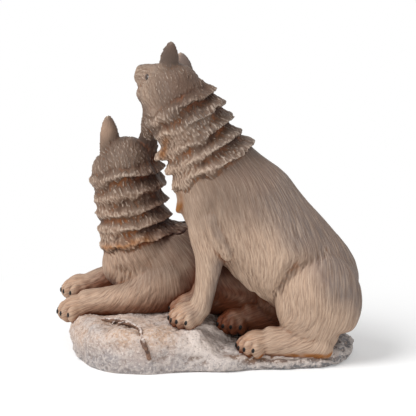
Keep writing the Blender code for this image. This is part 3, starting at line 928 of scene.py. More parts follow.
def rock_level(x, y):
    fall = min(1, max(0, (x - 0.3 * y + 14) / 34))
    mound = max(1 - fall * fall * (3 - 2 * fall), ROCK_LEDGE)
    rough = 1.6 * noise.fractal(Vector((x, y, 0)) / 9, 0.8, 2.0, 3)
    drift = 3.0 * math.exp(-((x + 5) ** 2 + (y + 19) ** 2) / 55)
    return ROCK_EDGE + (ROCK_HEIGHT - ROCK_EDGE) * mound + rough + drift


plan = [ROCK_PLAN[-1], *ROCK_PLAN, *ROCK_PLAN[:2]]
rims = [
    on_spline(*plan[i : i + 4], step / 8) for i in range(len(ROCK_PLAN)) for step in range(8)
]
sides = (
    (0.94, -0.15),
    (0.96, 0.0),
    (0.985, 0.2),
    (1.0, 0.45),
    (0.998, 0.68),
    (0.985, 0.86),
    (0.96, 0.96),
)
top = ((share, 1.0) for share in (0.91, 0.86, 0.8, 0.73, 0.64, 0.52, 0.4, 0.24, 0.08))
rings = []
for share, lift in (*sides, *top):
    ring = []
    for x, y in rims:
        crag = 1 + 0.035 * noise.noise(Vector((x / 11, y / 11, 4 * lift)))
        x = ROCK_CENTRE[0] + (x - ROCK_CENTRE[0]) * share * crag
        y = ROCK_CENTRE[1] + (y - ROCK_CENTRE[1]) * share * crag
        ring.append((x, y, lift * rock_level(x, y)))
    rings.append(ring)
ROCK_VOXEL, ROCK_THUMB = 0.55, 0.5
rock = one_skin("snowy_rock", [rolled_grid("rock", rings)], ROCK_VOXEL, ROCK_THUMB)

# Where the rock falls back under the sitting wolf's near hind foot.
FOOT_GAP = ((16, -22, 4.6), (30, -21.5, 4.6), (40, -21, 4.6), (49, -18, 4.6))


def roughened(rock):
    points, normals = points_of(rock), normals_of(rock)
    swell = noise_at(points, 6.5, 11)
    lump = noise_at(points, 2.2, 23)
    grit = noise_at(points, 0.9, 5)
    ridge = 1 - 2 * np.abs(noise_at(points * (1, 1, 1.8), 4.2, 41))
    bare = np.clip((points[:, 0] - 30) / 14, 0, 1) + np.clip((5 - points[:, 2]) / 5, 0, 1)
    flaw = np.abs(noise_at(points, 3.4, 77))
    height = 0.85 * swell + 0.45 * lump + 0.3 * grit + 0.7 * np.clip(bare, 0, 1) * ridge
    height -= 0.25 * np.clip(1 - flaw / 0.05, 0, 1) * np.clip(swell, 0, 1)
    height -= 2.0 * np.exp(-((nearest_on(points, FOOT_GAP)[0] / 1.6) ** 2))
    low = np.clip(points[:, 2] / 1.5, 0, 1)
    points += normals * (height * low)[:, None]
    front = cad_box[0][1] / MM + 0.5
    points[:, 1] = np.maximum(points[:, 1], front + 0.3 * (points[:, 1] - front))
    points[:, 2] = np.maximum(points[:, 2], 0)
    set_points(rock, points)


roughened(rock)

# %% A flat foot
deselect()
rock.select_set(True)
bpy.context.view_layer.objects.active = rock
bpy.ops.object.mode_set(mode="EDIT")
bpy.ops.mesh.select_all(action="SELECT")
bpy.ops.mesh.bisect(plane_co=(0, 0, 0.00002), plane_no=(0, 0, 1), clear_inner=True, use_fill=True)
bpy.ops.object.mode_set(mode="OBJECT")
print("rock:", len(rock.data.polygons), "faces")

# %% [markdown]
# Claws, eyes and noses
#
# The claws are single touches of black enamel, thick enough to stand proud. Each is a
# small drop on the front of its toe. The eyes are glassy drops under the brows and the
# nose is a leathery pad. All are found on the finished skin, so they sit in it.

# %% Drops on the skin
def skin_of(piece):
    piece.data.calc_loop_triangles()
    corners = [tuple(t.vertices) for t in piece.data.loop_triangles]
    return BVHTree.FromPolygons([v.co / MM for v in piece.data.vertices], corners)


def drop(at, normal, ahead, radii):
    """A flattened ball, radii ahead, aside and off the skin."""
    normal = normal.normalized()
    ahead = (ahead - normal * ahead.dot(normal)).normalized()
    turn = Matrix((ahead, normal.cross(ahead), normal)).transposed().to_4x4()
    return ball((0, 0, 0), radii, Matrix.Translation(at) @ turn)


def joined(name, parts):
    deselect()
    for part in parts:
        part.select_set(True)
    bpy.context.view_layer.objects.active = parts[0]
    bpy.ops.object.join()
    bpy.ops.object.shade_smooth()
    piece = bpy.context.object
    piece.name = name
    piece.data.name = name
    return piece


def claws_of(name, skin, place, paws):
    drops = []
    for spot in paws:
        for toe in toes(*spot):
            tip = place @ toe @ Vector((-PAW_LENGTH * 0.25, 0, PAW_HEIGHT * 0.02))
            at, normal, _, _ = skin.find_nearest(tip)
            drops.append(drop(at, normal, Vector((-0.3, 0, -1)), (0.95, 0.65, 0.4)))
    return joined(name, drops)


sitting_skin, lying_skin = skin_of(sitting), skin_of(lying)
claws = [
    claws_of("sitting_claws", sitting_skin, SITTING_PLACE, sitting_paws),
    claws_of("lying_claws", lying_skin, LYING_PLACE, lying_paws),
]


def face_of(name, skin, place):
    """Eyes under the brows and a nose pad, each as one piece."""
    eyes = []
    for side in (-1, 1):
        at, normal, _, _ = skin.find_nearest(place @ Vector((EYE[0], side * EYE[1], EYE[2])))
        ahead = place.to_3x3() @ Vector((-1, 0, 0.2))
        eyes.append(drop(at, normal, ahead, (1.6, 1.2, 0.8)))
    turn = place.to_3x3()
    tip = place @ Vector((-0.8 * SKULL - MUZZLE_LENGTH - 4, 0.6, -1.8))
    at = skin.ray_cast(tip, turn @ Vector((1, 0, 0)))[0]
    pad = drop(at, turn @ Vector((-1, 0, 0.15)), turn @ Vector((0, 1, 0)), (1.7, 1.3, 0.5))
    return joined(name + "_eyes", eyes), joined(name + "_nose", [pad])


sitting_eyes, sitting_nose = face_of("sitting", sitting_skin, sitting_head)
lying_eyes, lying_nose = face_of("lying", lying_skin, lying_head)
print("claws:", [len(c.data.vertices) for c in claws])

# %% [markdown]
# The twig
#
# A dead twig lies on the snow in front of the lying wolf's leg and hangs over the rock's
# front. It is a bent, knotty tube with a stub, capped with snow along its upper side.

# %% A twig over the edge
rock_skin = skin_of(rock)


def on_rock(x, y, lift):
    at, _, _, _ = rock_skin.ray_cast(Vector((x, y, 60)), Vector((0, 0, -1)))
    return at + Vector((0, 0, lift)) if at else Vector((x, y, lift))


def against_rock(x, z, lift):
    at, normal, _, _ = rock_skin.ray_cast(Vector((x, -60, z)), Vector((0, 1, 0)))
    return at + normal * lift


# x, y, height over the snow and radius of the branch, a fork and a shoot.
SPRIGS = (
    (
        (-40, -9, 0.2, 0.6),
        (-35.5, -11, 0.9, 1.0),
        (-31, -12.5, 0.5, 0.8),
        (-28, -17, 0.8, 1.2),
        (-25.5, -22, 0.6, 0.7),
    ),
    ((-33.5, -14, 0.2, 0.7), (-30.5, -15.5, 1.0, 0.8), (-27, -20.5, 1.1, 0.6)),
    ((-36, -13.5, 0.2, 0.35), (-34.5, -10.5, 1.5, 0.45), (-33, -8, 1.2, 0.3)),
)
# x, z and radius of the stick that hangs over the edge.
STICK = ((-24, 12.5, 1.0), (-22.6, 9.5, 0.8), (-21.8, 6.5, 0.9))
TWIG_VOXEL, TWIG_THUMB = 0.22, 0.15

lines = [[(on_rock(x, y, lift), radius) for x, y, lift, radius in sprig] for sprig in SPRIGS]
stick = [(on_rock(-25.5, -21.5, 0.7), 0.7)]
stick += [(against_rock(x, z, 0.6), radius) for x, z, radius in STICK]
twigs = [
    limb([(*point, radius, radius) for point, radius in line], sides=12)
    for line in (*lines, stick)
]
twig = one_skin("twig", twigs, TWIG_VOXEL, TWIG_THUMB)
points, normals = points_of(twig), normals_of(twig)
knots = 0.22 * noise_at(points, 0.9) + 0.12 * noise_at(points * (1, 1, 0.4), 0.5, 3)
set_points(twig, points + normals * knots[:, None])

# %% [markdown]
# What the painter saw
#
# Paint follows the form: thin brown wash runs into hollows, a dry brush catches ridges,
# and grey is sprayed along the backs. Shade is painted in where a skin is closed in. So
# numbers are worked out for every point of a skin and kept as attributes: hollow and groove
# (depth), how closed in each point is (for painted shade), spray (grey), dabs of a brush,
# bare spots, stains (on the rock also painted shade round the twig), and comb, which runs
# along the hair. The materials read them. Painting by the camera's view would look wrong
# from behind.

# %% Hollows, grooves and spray
def averaged(values, edges, passes):
    """The values, averaged with their neighbours over and over."""
    a, b = edges[:, 0], edges[:, 1]
    size = len(values)
    count = np.maximum(np.bincount(a, minlength=size) + np.bincount(b, minlength=size), 1)
    columns = [values[:, k] for k in range(values.shape[1])]
    for _ in range(passes):
        columns = [
            0.5 * c
            + 0.5
            * (
                np.bincount(a, weights=c[b], minlength=size)
                + np.bincount(b, weights=c[a], minlength=size)
            )
            / count
            for c in columns
        ]
    return np.stack(columns, axis=1)


def hollows(piece, passes):
    """How far each point lies below the average round it, in mm. Ridges are negative."""
    points = points_of(piece)
    even = averaged(points, edges_of(piece), passes)
    return np.sum((even - points) * normals_of(piece), axis=1)


def keep(piece, name, values):
    attribute = piece.data.attributes.new(name, "FLOAT", "POINT")
    attribute.data.foreach_set("value", values.astype(np.float32))


def edges_of(piece):
    edges = np.empty(2 * len(piece.data.edges), dtype=np.int64)
    piece.data.edges.foreach_get("vertices", edges)
    return edges.reshape(-1, 2)


def rising_along(points, edges, ways, passes=500):
    """A number at each point that grows by 1 for each mm along the ways given."""
    a, b = edges[:, 0], edges[:, 1]
    size = len(points)

    def gathered(values):
        return np.bincount(a, weights=values, minlength=size) - np.bincount(
            b, weights=values, minlength=size
        )

    slope = np.sum((points[a] - points[b]) * (ways[a] + ways[b]) / 2, axis=1)
    level = np.zeros(size)
    rest = gathered(slope)
    step = rest.copy()
    left = rest @ rest
    for _ in range(passes):
        pull = gathered(step[a] - step[b])
        share = left / (step @ pull)
        level += share * step
        rest -= share * pull
        before, left = left, rest @ rest
        step = rest + left / before * step
    return level


def keep_comb(wolf, flow):
    """Coordinates that run across the hair and along it, for fine strokes."""
    points, edges = points_of(wolf), edges_of(wolf)
    across = np.cross(normals_of(wolf), flow)
    across *= np.where(across[:, :1] < 0, -1, 1)
    attribute = wolf.data.attributes.new("comb", "FLOAT_VECTOR", "POINT")
    comb = np.zeros((len(points), 3), dtype=np.float32)
    comb[:, 0] = rising_along(points, edges, across)
    comb[:, 1] = rising_along(points, edges, flow)
    attribute.data.foreach_set("vector", comb.ravel())


# Closed-in places are darkened in the materials, as painted shade.
def shelter(piece, others, reach, rays=14):
    """How much of the space within reach mm of each point is closed, from 0 to 1."""
    points, normals = points_of(piece), normals_of(piece)
    skins = [skin_of(other) for other in (piece, *others)]
    golden = math.pi * (3 - math.sqrt(5))
    fan = []
    for k in range(rays):
        z = 1 - (k + 0.5) / rays
        r = math.sqrt(1 - z * z)
        fan.append(Vector((r * math.cos(k * golden), r * math.sin(k * golden), z)))
    closed = np.zeros(len(points))
    for i in range(0, len(points), 3):
        up = Vector(normals[i])
        turn = up.to_track_quat("Z", "Y").to_matrix()
        start = Vector(points[i]) + up * 0.4
        hits = 0
        for ray in fan:
            way = turn @ ray
            if any(skin.ray_cast(start, way, reach)[0] for skin in skins):
                hits += 1
        closed[i : i + 3] = hits / rays
    return averaged(closed[:, None], edges_of(piece), 12)[:, 0]


def spray_of(wolf, place, back):
    """Grey along the back and head, fading down the flanks, legs and belly."""
    points = points_in(wolf, place)
    normals = normals_of(wolf)
    soft = averaged(normals, edges_of(wolf), 40)
    facing = soft @ np.array(Vector(back).normalized())
    high = np.clip((points[:, 2] - 25) / 60, 0, 1)
    rump = np.clip((points[:, 0] - 36) / 14, 0, 1) * np.clip((points[:, 2] - 22) / 15, 0, 1)
    sprayed = 0.2 + 1.1 * facing + 0.3 * high + 0.8 * rump
    return np.clip(sprayed, 0, 1.2) * np.clip((points[:, 2] - 8) / 14, 0, 1)


def bare_of(wolf, place, ears):
    """Ears and muzzle, where the paint has no strokes."""
    bare = in_ears(wolf, place, ears).astype(float)
    nose = np.array(place @ Vector((-21, 0, -1)))
    bare = np.maximum(bare, np.linalg.norm(points_of(wolf) - nose, axis=1) < 4)
    return averaged(bare[:, None], edges_of(wolf), 10)[:, 0]


def dabs_of(wolf, place, dabs):
    """Soft dabs of a brush: centre in the wolf's frame, radius and strength."""
    points = points_in(wolf, place)
    total = np.zeros(len(points))
    for centre, radius, strength in dabs:
        far = np.linalg.norm(points - np.array(centre), axis=1) / radius
        dab = np.clip(1.5 - far, 0, 1)
        total = np.maximum(total, strength * dab) if strength > 0 else total * (1 + strength * dab)
    return total


SITTING_DABS = (
    ((-6, -4, 101), 16, 1.25),
    ((-6, -7, 100), 13, 1.6),
    ((-14, -8, 116), 9, 1.2),
    ((0, 0, 90), 17, 1.15),
    ((6, 0, 76), 16, 0.9),
    ((6, -6, 64), 15, 0.75),
    ((-24, 13, 100), 12, 0.75),
    ((-20, 6, 88), 14, 1.15),
    ((-27, 14, 104), 7, -0.3),
    ((-12, 8, 114), 6, -1.0),
)
LYING_DABS = (
    ((-29, 0, 60), 17, 1.15),
    ((-37, -7, 78), 8, -0.8),
    ((-28, 0, 44), 16, 0.9),
    ((-10, 0, 26), 22, 0.7),
)
SITTING_BACK, LYING_BACK = (0.85, 0, 0.5), (0.3, 0, 0.95)
sitting_data = sitting_flow, sitting_valley, sitting_paws, sitting_head
lying_data = lying_flow, lying_valley, lying_paws, lying_head
for wolf, other, place, back, dabs, ears, (flow, valley, paws, skull) in (
    (sitting, lying, SITTING_PLACE, SITTING_BACK, SITTING_DABS, SITTING_EARS, sitting_data),
    (lying, sitting, LYING_PLACE, LYING_BACK, LYING_DABS, LYING_EARS, lying_data),
):
    keep_comb(wolf, flow)
    keep(wolf, "umber", dabs_of(wolf, place, dabs))
    toe_dabs = [((x - 3, y, z + 3), 7, 1.0) for x, y, z, _ in paws]
    keep(wolf, "peach", dabs_of(wolf, place, toe_dabs))
    keep(wolf, "shelter", shelter(wolf, (other, rock), 22))
    keep(wolf, "hollow", hollows(wolf, 70))
    keep(wolf, "groove", hollows(wolf, 6))
    keep(wolf, "spray", spray_of(wolf, place, back))
    keep(wolf, "valley", valley)
    keep(wolf, "bare", bare_of(wolf, skull, ears))
    wolf.data.shade_smooth()
# %% [markdown]
# Stains and painted shade
#
# Ochre wash has run into the fur of the real casting, and there is dirt on the snow where
# the feet touch it. Round the twig the snow is darkened as painted shade. Each is a short
# run of a brush, so it is drawn as a path with a reach, and noise breaks its edge. Noise
# alone would put stains in the wrong places.

# %% Stains and painted shade
# Paths in the frame of the world, in mm.
FOOT_STAIN = ((8, -22, 5), (22, -21.5, 4.6), (36, -21, 4.8), (49, -18, 5))
CHEST_STAIN = ((-9, -10.5, 65), (-12.5, -10, 57))
THROAT_STAIN = ((-15, -14, 94), (-15, -14, 88), (-17, -11, 80))
RUFF_STAIN = ((-42, 9, 39), (-36, 4, 40.5), (-31, 3, 43), (-22, 4, 44.5))
TOE_STAIN = ((9, -21, 10), (16, -22.5, 8.5), (21, -22.5, 6))
# Painted shade round the twig, where it lies in the snow.
TWIG_SHADE = ((-39, -10, 16), (-29, -16, 15.5), (-25.5, -22, 13.5))


def stained(piece, stains):
    """Keeps a mark along each path, with its reach in mm and its strength. Round the twig the mark
    is painted shade.
    """
    points = points_of(piece)
    broken = 0.75 + 0.5 * noise_at(points, 2.5, 61)
    total = np.zeros(len(points))
    for path, reach, strength in stains:
        mark = np.clip(1.3 - nearest_on(points, path)[0] / reach, 0, 1)
        total = np.maximum(total, strength * mark)
    keep(piece, "stain", total * broken)
    print("stain on", piece.name, int((total > 0.1).sum()), "points")


stained(sitting, ((FOOT_STAIN, 1.5, 1.6), (CHEST_STAIN, 3.4, 1.0), (THROAT_STAIN, 2.6, 0.8)))
stained(lying, ((RUFF_STAIN, 2.8, 0.95),))
# Dirt under the feet and toes, and painted shade round the twig.
stained(rock, ((FOOT_STAIN, 2.6, 1.2), (TWIG_SHADE, 2.4, 0.8), (TOE_STAIN, 3.0, 0.7)))
# How closed in the rock is under the wolves, for painted shade.
keep(rock, "shelter", shelter(rock, (sitting, lying), 14))
keep(rock, "hollow", hollows(rock, 40))
keep(rock, "groove", hollows(rock, 5))
rock.data.shade_smooth()

# %% [markdown]
# Fewer faces
#
# The skins are fine so that pressed hairs and painted numbers keep sharp edges. Much of that
# is flat, and a viewer has no use for it, so the wolves are thinned when all is pressed and
# measured. A coarser voxel would have lost the hairs.

# %% Fewer faces
def thinned(piece, most):
    """Collapses the edges that matter least, until the piece has at most this many triangles."""
    deselect()
    bpy.context.view_layer.objects.active = piece
    piece.data.calc_loop_triangles()
    count = len(piece.data.loop_triangles)
    fewer = piece.modifiers.new("fewer faces", "DECIMATE")
    fewer.ratio = min(1, most / count)
    bpy.ops.object.modifier_apply(modifier=fewer.name)
    print(piece.name, count, "triangles thinned to", len(piece.data.polygons), "faces")


MOST_TRIANGLES = 190000
for wolf in (sitting, lying):
    thinned(wolf, MOST_TRIANGLES)
# The twig's upper side, where snow lies.
keep(twig, "cap", normals_of(twig)[:, 2] + 0.5 * noise_at(points_of(twig), 1.6, 9))
twig.data.shade_smooth()

# %% [markdown]
# Materials
#
# Polyester resin is ivory and a little waxy. The coat is brushed with brown wash, which
# stays in the grooves, and dry-brushed with cream, which stays on the ridges. Each paint is
# one layer: a colour laid over what is there, where a number of the skin rises from low to
# high. An image would need a seam, and would smear on the steep collars.

# %% Colours, nodes and layers of paint
def linear(text):
    channels = [int(text[i : i + 2], 16) / 255 for i in (1, 3, 5)]
    return [c / 12.92 if c <= 0.04045 else ((c + 0.055) / 1.055) ** 2.4 for c in channels] + [1]


def material(name):
    made = bpy.data.materials.new(name)
    made.use_nodes = True
    made.node_tree.nodes.clear()
    return made


def node(tree, kind, *inputs, out=0, **settings):
    """Adds a node. An input is a value, an sRGB colour as text, or another node's output."""
    made = tree.nodes.new(kind)
    for key, value in settings.items():
        setattr(made, key, value)
    for key, value in inputs:
        if isinstance(value, bpy.types.NodeSocket):
            tree.links.new(made.inputs[key], value)
        else:
            made.inputs[key].default_value = linear(value) if isinstance(value, str) else value
    return made.outputs[out] if made.outputs else made


def mottle(tree, size, detail=3.0, roughness=0.6):
    """Noise with patches of about this size in mm."""
    where = node(tree, "ShaderNodeTexCoord", out="Object")
    look = ("Scale", 1 / (size * MM)), ("Detail", detail), ("Roughness", roughness)
    return node(tree, "ShaderNodeTexNoise", ("Vector", where), *look)


def span(low, high, most=1.0, least=0.0):
    """The ends of a range: from least to most, as its value goes from low to high."""
    return ("From Min", low), ("From Max", high), ("To Min", least), ("To Max", most)


def brushed(
    tree, under, colour, number, low, high, most=1.0, uneven=None, mask=None, blend="MIX"
):
    """Lays a colour over what is under it, where a number goes from low to high.

    uneven is noise and its share, which break the edge. A mask keeps the brush off.
    """
    if uneven:
        noise, part = uneven
        parts = (0, noise), (1, part), (2, number)
        number = node(tree, "ShaderNodeMath", *parts, operation="MULTIPLY_ADD")
    share = node(tree, "ShaderNodeMapRange", ("Value", number), *span(low, high, most))
    if mask:
        share = node(tree, "ShaderNodeMath", (0, mask), (1, share), operation="MULTIPLY")
    colours = (6, under), (7, colour)
    settings = {"data_type": "RGBA", "blend_type": blend}
    return node(tree, "ShaderNodeMix", (0, share), *colours, out=2, **settings)


def set_stops(ramp, *stops):
    """Sets the colours of a ramp. Each stop is its place and an sRGB colour."""
    elements = ramp.node.color_ramp.elements
    while len(elements) < len(stops):
        elements.new(0.5)
    for element, (at, colour) in zip(elements, stops):
        element.position = at
        element.color = linear(colour)


def finished(made, colour, height, strength, depth, *gloss):
    """Ends a material with its colour, a bump up to depth mm, and its gloss."""
    tree = made.node_tree
    relief = ("Height", height), ("Strength", strength), ("Distance", depth * MM)
    bump = node(tree, "ShaderNodeBump", *relief)
    paint = ("Base Color", colour), ("Normal", bump), *gloss
    shader = node(tree, "ShaderNodeBsdfPrincipled", *paint)
    node(tree, "ShaderNodeOutputMaterial", ("Surface", shader))
    return made


# %% Painted fur
WAX = (("IOR", 1.5), ("Specular IOR Level", 0.35))


def painted_fur(name, tones):
    """Ivory resin under brown wash, sprayed grey on top and dry-brushed on the ridges."""
    cream, grey, umber, brown, dark, rust, light, peach = tones
    made = material(name)
    tree = made.node_tree
    kept = "hollow groove spray valley shelter bare stain umber peach".split()
    hollow, groove, spray, valley, shelter, bare, stain, umber_dab, peach_dab = (
        node(tree, "ShaderNodeAttribute", out="Fac", attribute_name=name) for name in kept
    )
    comb = node(tree, "ShaderNodeAttribute", out="Vector", attribute_name="comb")

    def hairs(across, along):
        """Noise drawn out along the hair: across and along are sizes in mm."""
        scale = ("Scale", (1 / across, 1 / along, 1))
        drawn = node(tree, "ShaderNodeMapping", ("Vector", comb), scale)
        look = ("Scale", 1.0), ("Detail", 2.0), ("Roughness", 0.6)
        return node(tree, "ShaderNodeTexNoise", ("Vector", drawn), *look)

    patches, specks, streaks = mottle(tree, 9.091), mottle(tree, 0.66667, 2.0), hairs(0.4, 6.0)
    covered = node(tree, "ShaderNodeMath", (0, 1.0), (1, bare), operation="SUBTRACT")
    locks = hairs(1.6, 12.0), 0.5

    # The sprayed and dabbed ground, from ivory to umber.
    coat = brushed(tree, cream, peach, peach_dab, 0.2, 1.0, 0.8)
    coat = brushed(tree, coat, grey, spray, 0.5, 1.15, uneven=(patches, 0.6))
    coat = brushed(tree, coat, umber, umber_dab, 0.2, 1.2, uneven=locks)
    coat = brushed(tree, coat, "#8d6c58", mottle(tree, 22.222), 0.45, 0.7, 0.3)

    # Fine hairs, brown and then pale.
    coat = brushed(tree, coat, brown, streaks, 0.42, 0.64, 0.6, mask=covered)
    pale = brushed(tree, light, "#7b6a5c", umber_dab, 0.2, 1.2, uneven=locks)
    coat = brushed(tree, coat, pale, hairs(0.5, 8.0), 0.42, 0.75, 0.5, mask=covered)

    # Wash in the valleys of the collars, in the grooves and in the deep hollows.
    coat = brushed(tree, coat, "#4a3526", valley, 0.45, 1.05, 0.75, (patches, 0.3))
    coat = brushed(tree, coat, brown, groove, 0.0, 0.12, 0.75)
    pit = brushed(tree, dark, rust, mottle(tree, 6.25), 0.45, 0.6)
    coat = brushed(tree, coat, pit, hollow, 0.3, 0.95, 0.9, (patches, 0.4))

    # A dry brush on the ridges, painted warm shade in the nooks, and stains.
    dry = node(tree, "ShaderNodeMapRange", ("Value", hairs(0.5, 2.5)), *span(0.35, 0.62))
    pale = brushed(tree, light, "#ab9a8c", umber_dab, 0.2, 1.2, uneven=locks)
    coat = brushed(tree, coat, pale, groove, -0.05, -0.15, 0.75, mask=dry)
    # Painted shade: warm brown multiplied in where the other wolf and the rock close the skin in.
    coat = brushed(
        tree, coat, "#a06845", shelter, 0.42, 0.85, uneven=(patches, 0.2), blend="MULTIPLY"
    )
    coat = brushed(tree, coat, "#b8a598", umber_dab, 1.1, 1.6, 0.6, blend="MULTIPLY")
    coat = brushed(tree, coat, "#d8a35a", stain, 0.2, 0.9, blend="MULTIPLY")

    fine = node(tree, "ShaderNodeMath", (0, streaks), (1, 0.7), operation="MULTIPLY")
    parts = (0, specks), (1, 0.3), (2, fine)
    fine = node(tree, "ShaderNodeMath", *parts, operation="MULTIPLY_ADD")
    rough = node(tree, "ShaderNodeMapRange", ("Value", patches), *span(0.3, 0.7, 0.72, 0.56))
    return finished(made, coat, fine, 0.7, 0.5, ("Roughness", rough), *WAX)


PALE_COAT = "#b39882 #6f625c #4d3e35 #6b5444 #3f2413 #80491c #bfa996 #ba8560".split()
BROWN_COAT = "#b4957e #6c584b #4b3b31 #6b5343 #3f2413 #80491c #bba693 #b78e70".split()
sitting.data.materials.append(painted_fur("painted_resin_pale_coat", PALE_COAT))
lying.data.materials.append(painted_fur("painted_resin_brown_coat", BROWN_COAT))

# %% Snowy rock
def snowy_rock():
    """Chalky cream paint over grey stone, with grey and rust in its pits."""
    made = material("painted_resin_snowy_rock")
    tree = made.node_tree
    hollow, groove, shelter, stain = (
        node(tree, "ShaderNodeAttribute", out="Fac", attribute_name=name)
        for name in ("hollow", "groove", "shelter", "stain")
    )
    where = node(tree, "ShaderNodeTexCoord", out="Object")
    across, up = (node(tree, "ShaderNodeSeparateXYZ", (0, where), out=axis) for axis in "XZ")

    def crumbs(size, detail=4.0):
        return mottle(tree, size, detail, 0.65)

    snow = node(tree, "ShaderNodeValToRGB", ("Fac", crumbs(13.333)))
    set_stops(
        snow,
        (0.28, "#878182"),
        (0.4, "#a49a96"),
        (0.54, "#bba89d"),
        (0.66, "#b59d8e"),
        (0.78, "#a5968e"),
    )

    # A warm crown, a painted highlight on the snow in the middle, grey towards the foot, and
    # grey towards the ledge that is partly dirt and partly painted shade.
    crown = node(tree, "ShaderNodeMapRange", ("Value", up), *span(0.004, 0.012))
    snow = brushed(tree, snow, "#b89a84", crumbs(22.222), 0.4, 0.6, mask=crown)
    # Painted highlight: lighter snow across the middle, where the drift lies.
    drift = node(tree, "ShaderNodeMapRange", ("Value", across), *span(-0.013, -0.005))
    snow = brushed(tree, snow, "#d3c5bc", across, 0.022, 0.012, mask=drift)
    snow = brushed(tree, snow, "#817e80", up, 0.0095, 0.001, 0.75)
    # Grey towards the right-hand ledge: partly dirt, partly painted shade.
    snow = brushed(tree, snow, "#69696c", across, 0.003, 0.027, 0.9)

    # Crumbs of light and dark, wash in the pits, painted shade where the wolves close the rock
    # in, dirt under the feet with painted shade round the twig, and bright ridges.
    snow = brushed(tree, snow, "#d2c5bc", crumbs(2.381, 3.0), 0.5, 0.7, 0.45)
    snow = brushed(tree, snow, "#75696a", crumbs(0.66667, 2.0), 0.57, 0.68, 0.7)
    snow = brushed(tree, snow, "#7a604e", hollow, 0.1, 0.6, 0.7)
    snow = brushed(tree, snow, "#85766c", groove, 0.03, 0.15, 0.6)
    # Painted shade: dark brown where the wolves close the rock in.
    snow = brushed(tree, snow, "#5a3a22", shelter, 0.48, 0.85, 0.85)
    # Dirt under the feet and toes, and painted shade round the twig.
    snow = brushed(tree, snow, "#6f4c30", stain, 0.1, 0.8, 0.8)
    snow = brushed(tree, snow, "#dcd1c9", crumbs(0.9091, 2.0), 0.55, 0.66, 0.55)
    snow = brushed(tree, snow, "#cbbfb7", groove, -0.02, -0.1, 0.5)
    return finished(made, snow, crumbs(0.9091, 5.0), 0.9, 0.6, ("Roughness", 0.6), *WAX)


rock.data.materials.append(snowy_rock())

# %% Enamel, glass and bark
def flecked(name, base, fleck, size, roughness, coat=0.0, shine=0.5, cap=None):
    """One paint with a fleck of a second, and a fine bump. A cap of snow, where asked."""
    made = material(name)
    tree = made.node_tree
    spots = mottle(tree, size, 4.0)
    paint = node(tree, "ShaderNodeValToRGB", ("Fac", spots))
    set_stops(paint, (0.35, base), (0.65, fleck))
    if cap:
        upper = node(tree, "ShaderNodeAttribute", out="Fac", attribute_name="cap")
        paint = brushed(tree, paint, cap, upper, 0.6, 0.95)
    gloss = ("Roughness", roughness), ("Specular IOR Level", shine), ("Coat Weight", coat)
    return finished(made, paint, spots, 0.3, 0.2, *gloss)


enamel = flecked("black_enamel", "#0b0909", "#1a1514", 1.111, 0.35, 0.08, shine=0.25)
amber = flecked("glossy_amber_eye", "#150c07", "#4a2b12", 1.667, 0.3, 0.25)
bark = flecked("painted_bark", "#3f2a20", "#84634f", 2.0, 0.65, cap="#cfc2ba")
for paint, pieces in (
    (enamel, (*claws, sitting_nose, lying_nose)),
    (amber, (sitting_eyes, lying_eyes)),
    (bark, (twig,)),
):
    for piece in pieces:
        piece.data.materials.append(paint)
print("materials:", len(bpy.data.materials))

# %% [markdown]
# Floor, light and camera
#
# A product photograph has a white table and a big soft lamp above and to the left. The
# sky gives half of the light, so that no side is black.

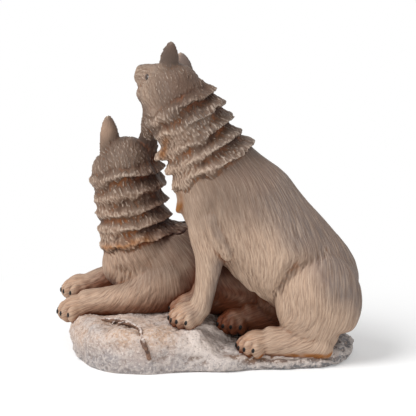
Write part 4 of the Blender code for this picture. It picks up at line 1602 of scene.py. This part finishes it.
# %% White table
deselect()
bpy.ops.mesh.primitive_plane_add(size=6)
floor = bpy.context.object
floor.name = "white_table"
paper = material("white_paper")
tree = paper.node_tree
matt = ("Roughness", 0.9), ("Specular IOR Level", 0.0)
shader = node(tree, "ShaderNodeBsdfPrincipled", ("Base Color", "#fbfbfb"), *matt)
white = node(tree, "ShaderNodeEmission", ("Color", (1, 1, 1, 1)), ("Strength", 1.0))
where = node(tree, "ShaderNodeTexCoord", out="Object")
far = node(tree, "ShaderNodeVectorMath", (0, where), out="Value", operation="LENGTH")
fade = node(tree, "ShaderNodeMapRange", ("Value", far), *span(0.08, 0.15, 1.0, 0.2))
lit = node(tree, "ShaderNodeLightPath", out="Is Camera Ray")
shown = node(tree, "ShaderNodeMath", (0, fade), (1, lit), operation="MULTIPLY")
both = node(tree, "ShaderNodeMixShader", ("Fac", shown), (1, shader), (2, white))
node(tree, "ShaderNodeOutputMaterial", ("Surface", both))
floor.data.materials.append(paper)

# %% Soft light
SKY_STRENGTH = 0.55
world = bpy.data.worlds.new("soft_sky")
bpy.context.scene.world = world
world.use_nodes = True
tree = world.node_tree
tree.nodes.clear()
seen = node(tree, "ShaderNodeLightPath", out="Is Camera Ray")
for ray in ("Is Glossy Ray", "Is Transmission Ray"):
    other = node(tree, "ShaderNodeLightPath", out=ray)
    seen = node(tree, "ShaderNodeMath", (0, seen), (1, other), operation="MAXIMUM")
strength = node(tree, "ShaderNodeMapRange", ("Value", seen), *span(0, 1, 1.0, SKY_STRENGTH))
sky = node(tree, "ShaderNodeBackground", ("Strength", strength), ("Color", (1, 1, 1, 1)))
node(tree, "ShaderNodeOutputWorld", ("Surface", sky))


def lamp(name, place, target, size, power):
    bpy.ops.object.light_add(type="AREA", location=place)
    made = bpy.context.object
    made.name = name
    made.data.shape = "DISK"
    made.data.size = size
    made.data.energy = power
    made.rotation_euler = (Vector(target) - Vector(place)).to_track_quat("-Z", "Y").to_euler()
    return made


lamp("key", (-0.55, -0.45, 0.85), (0, 0, 0.05), 0.6, 9.5)
lamp("fill", (0.3, -0.9, 0.5), (0, 0, 0.05), 0.7, 2.0)

# %% Camera
bpy.ops.object.camera_add()
camera = bpy.context.object
target = Vector((0, 0, 0.0574))
tilt, distance = math.radians(12), 0.9
camera.location = target + distance * Vector((0, -math.cos(tilt), math.sin(tilt)))
camera.rotation_euler = (target - camera.location).to_track_quat("-Z", "Y").to_euler()
camera.data.lens = 206.1
camera.data.sensor_width = 36
bpy.context.scene.camera = camera
bpy.context.scene.view_settings.view_transform = "Standard"

# %% Pieces on the root body, and the casting hidden
faces = (sitting_eyes, sitting_nose, lying_eyes, lying_nose)
for piece in (sitting, lying, rock, twig, *claws, *faces):
    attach(piece, "root")
for piece in (sitting, lying, rock):
    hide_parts("wolf_figurine")
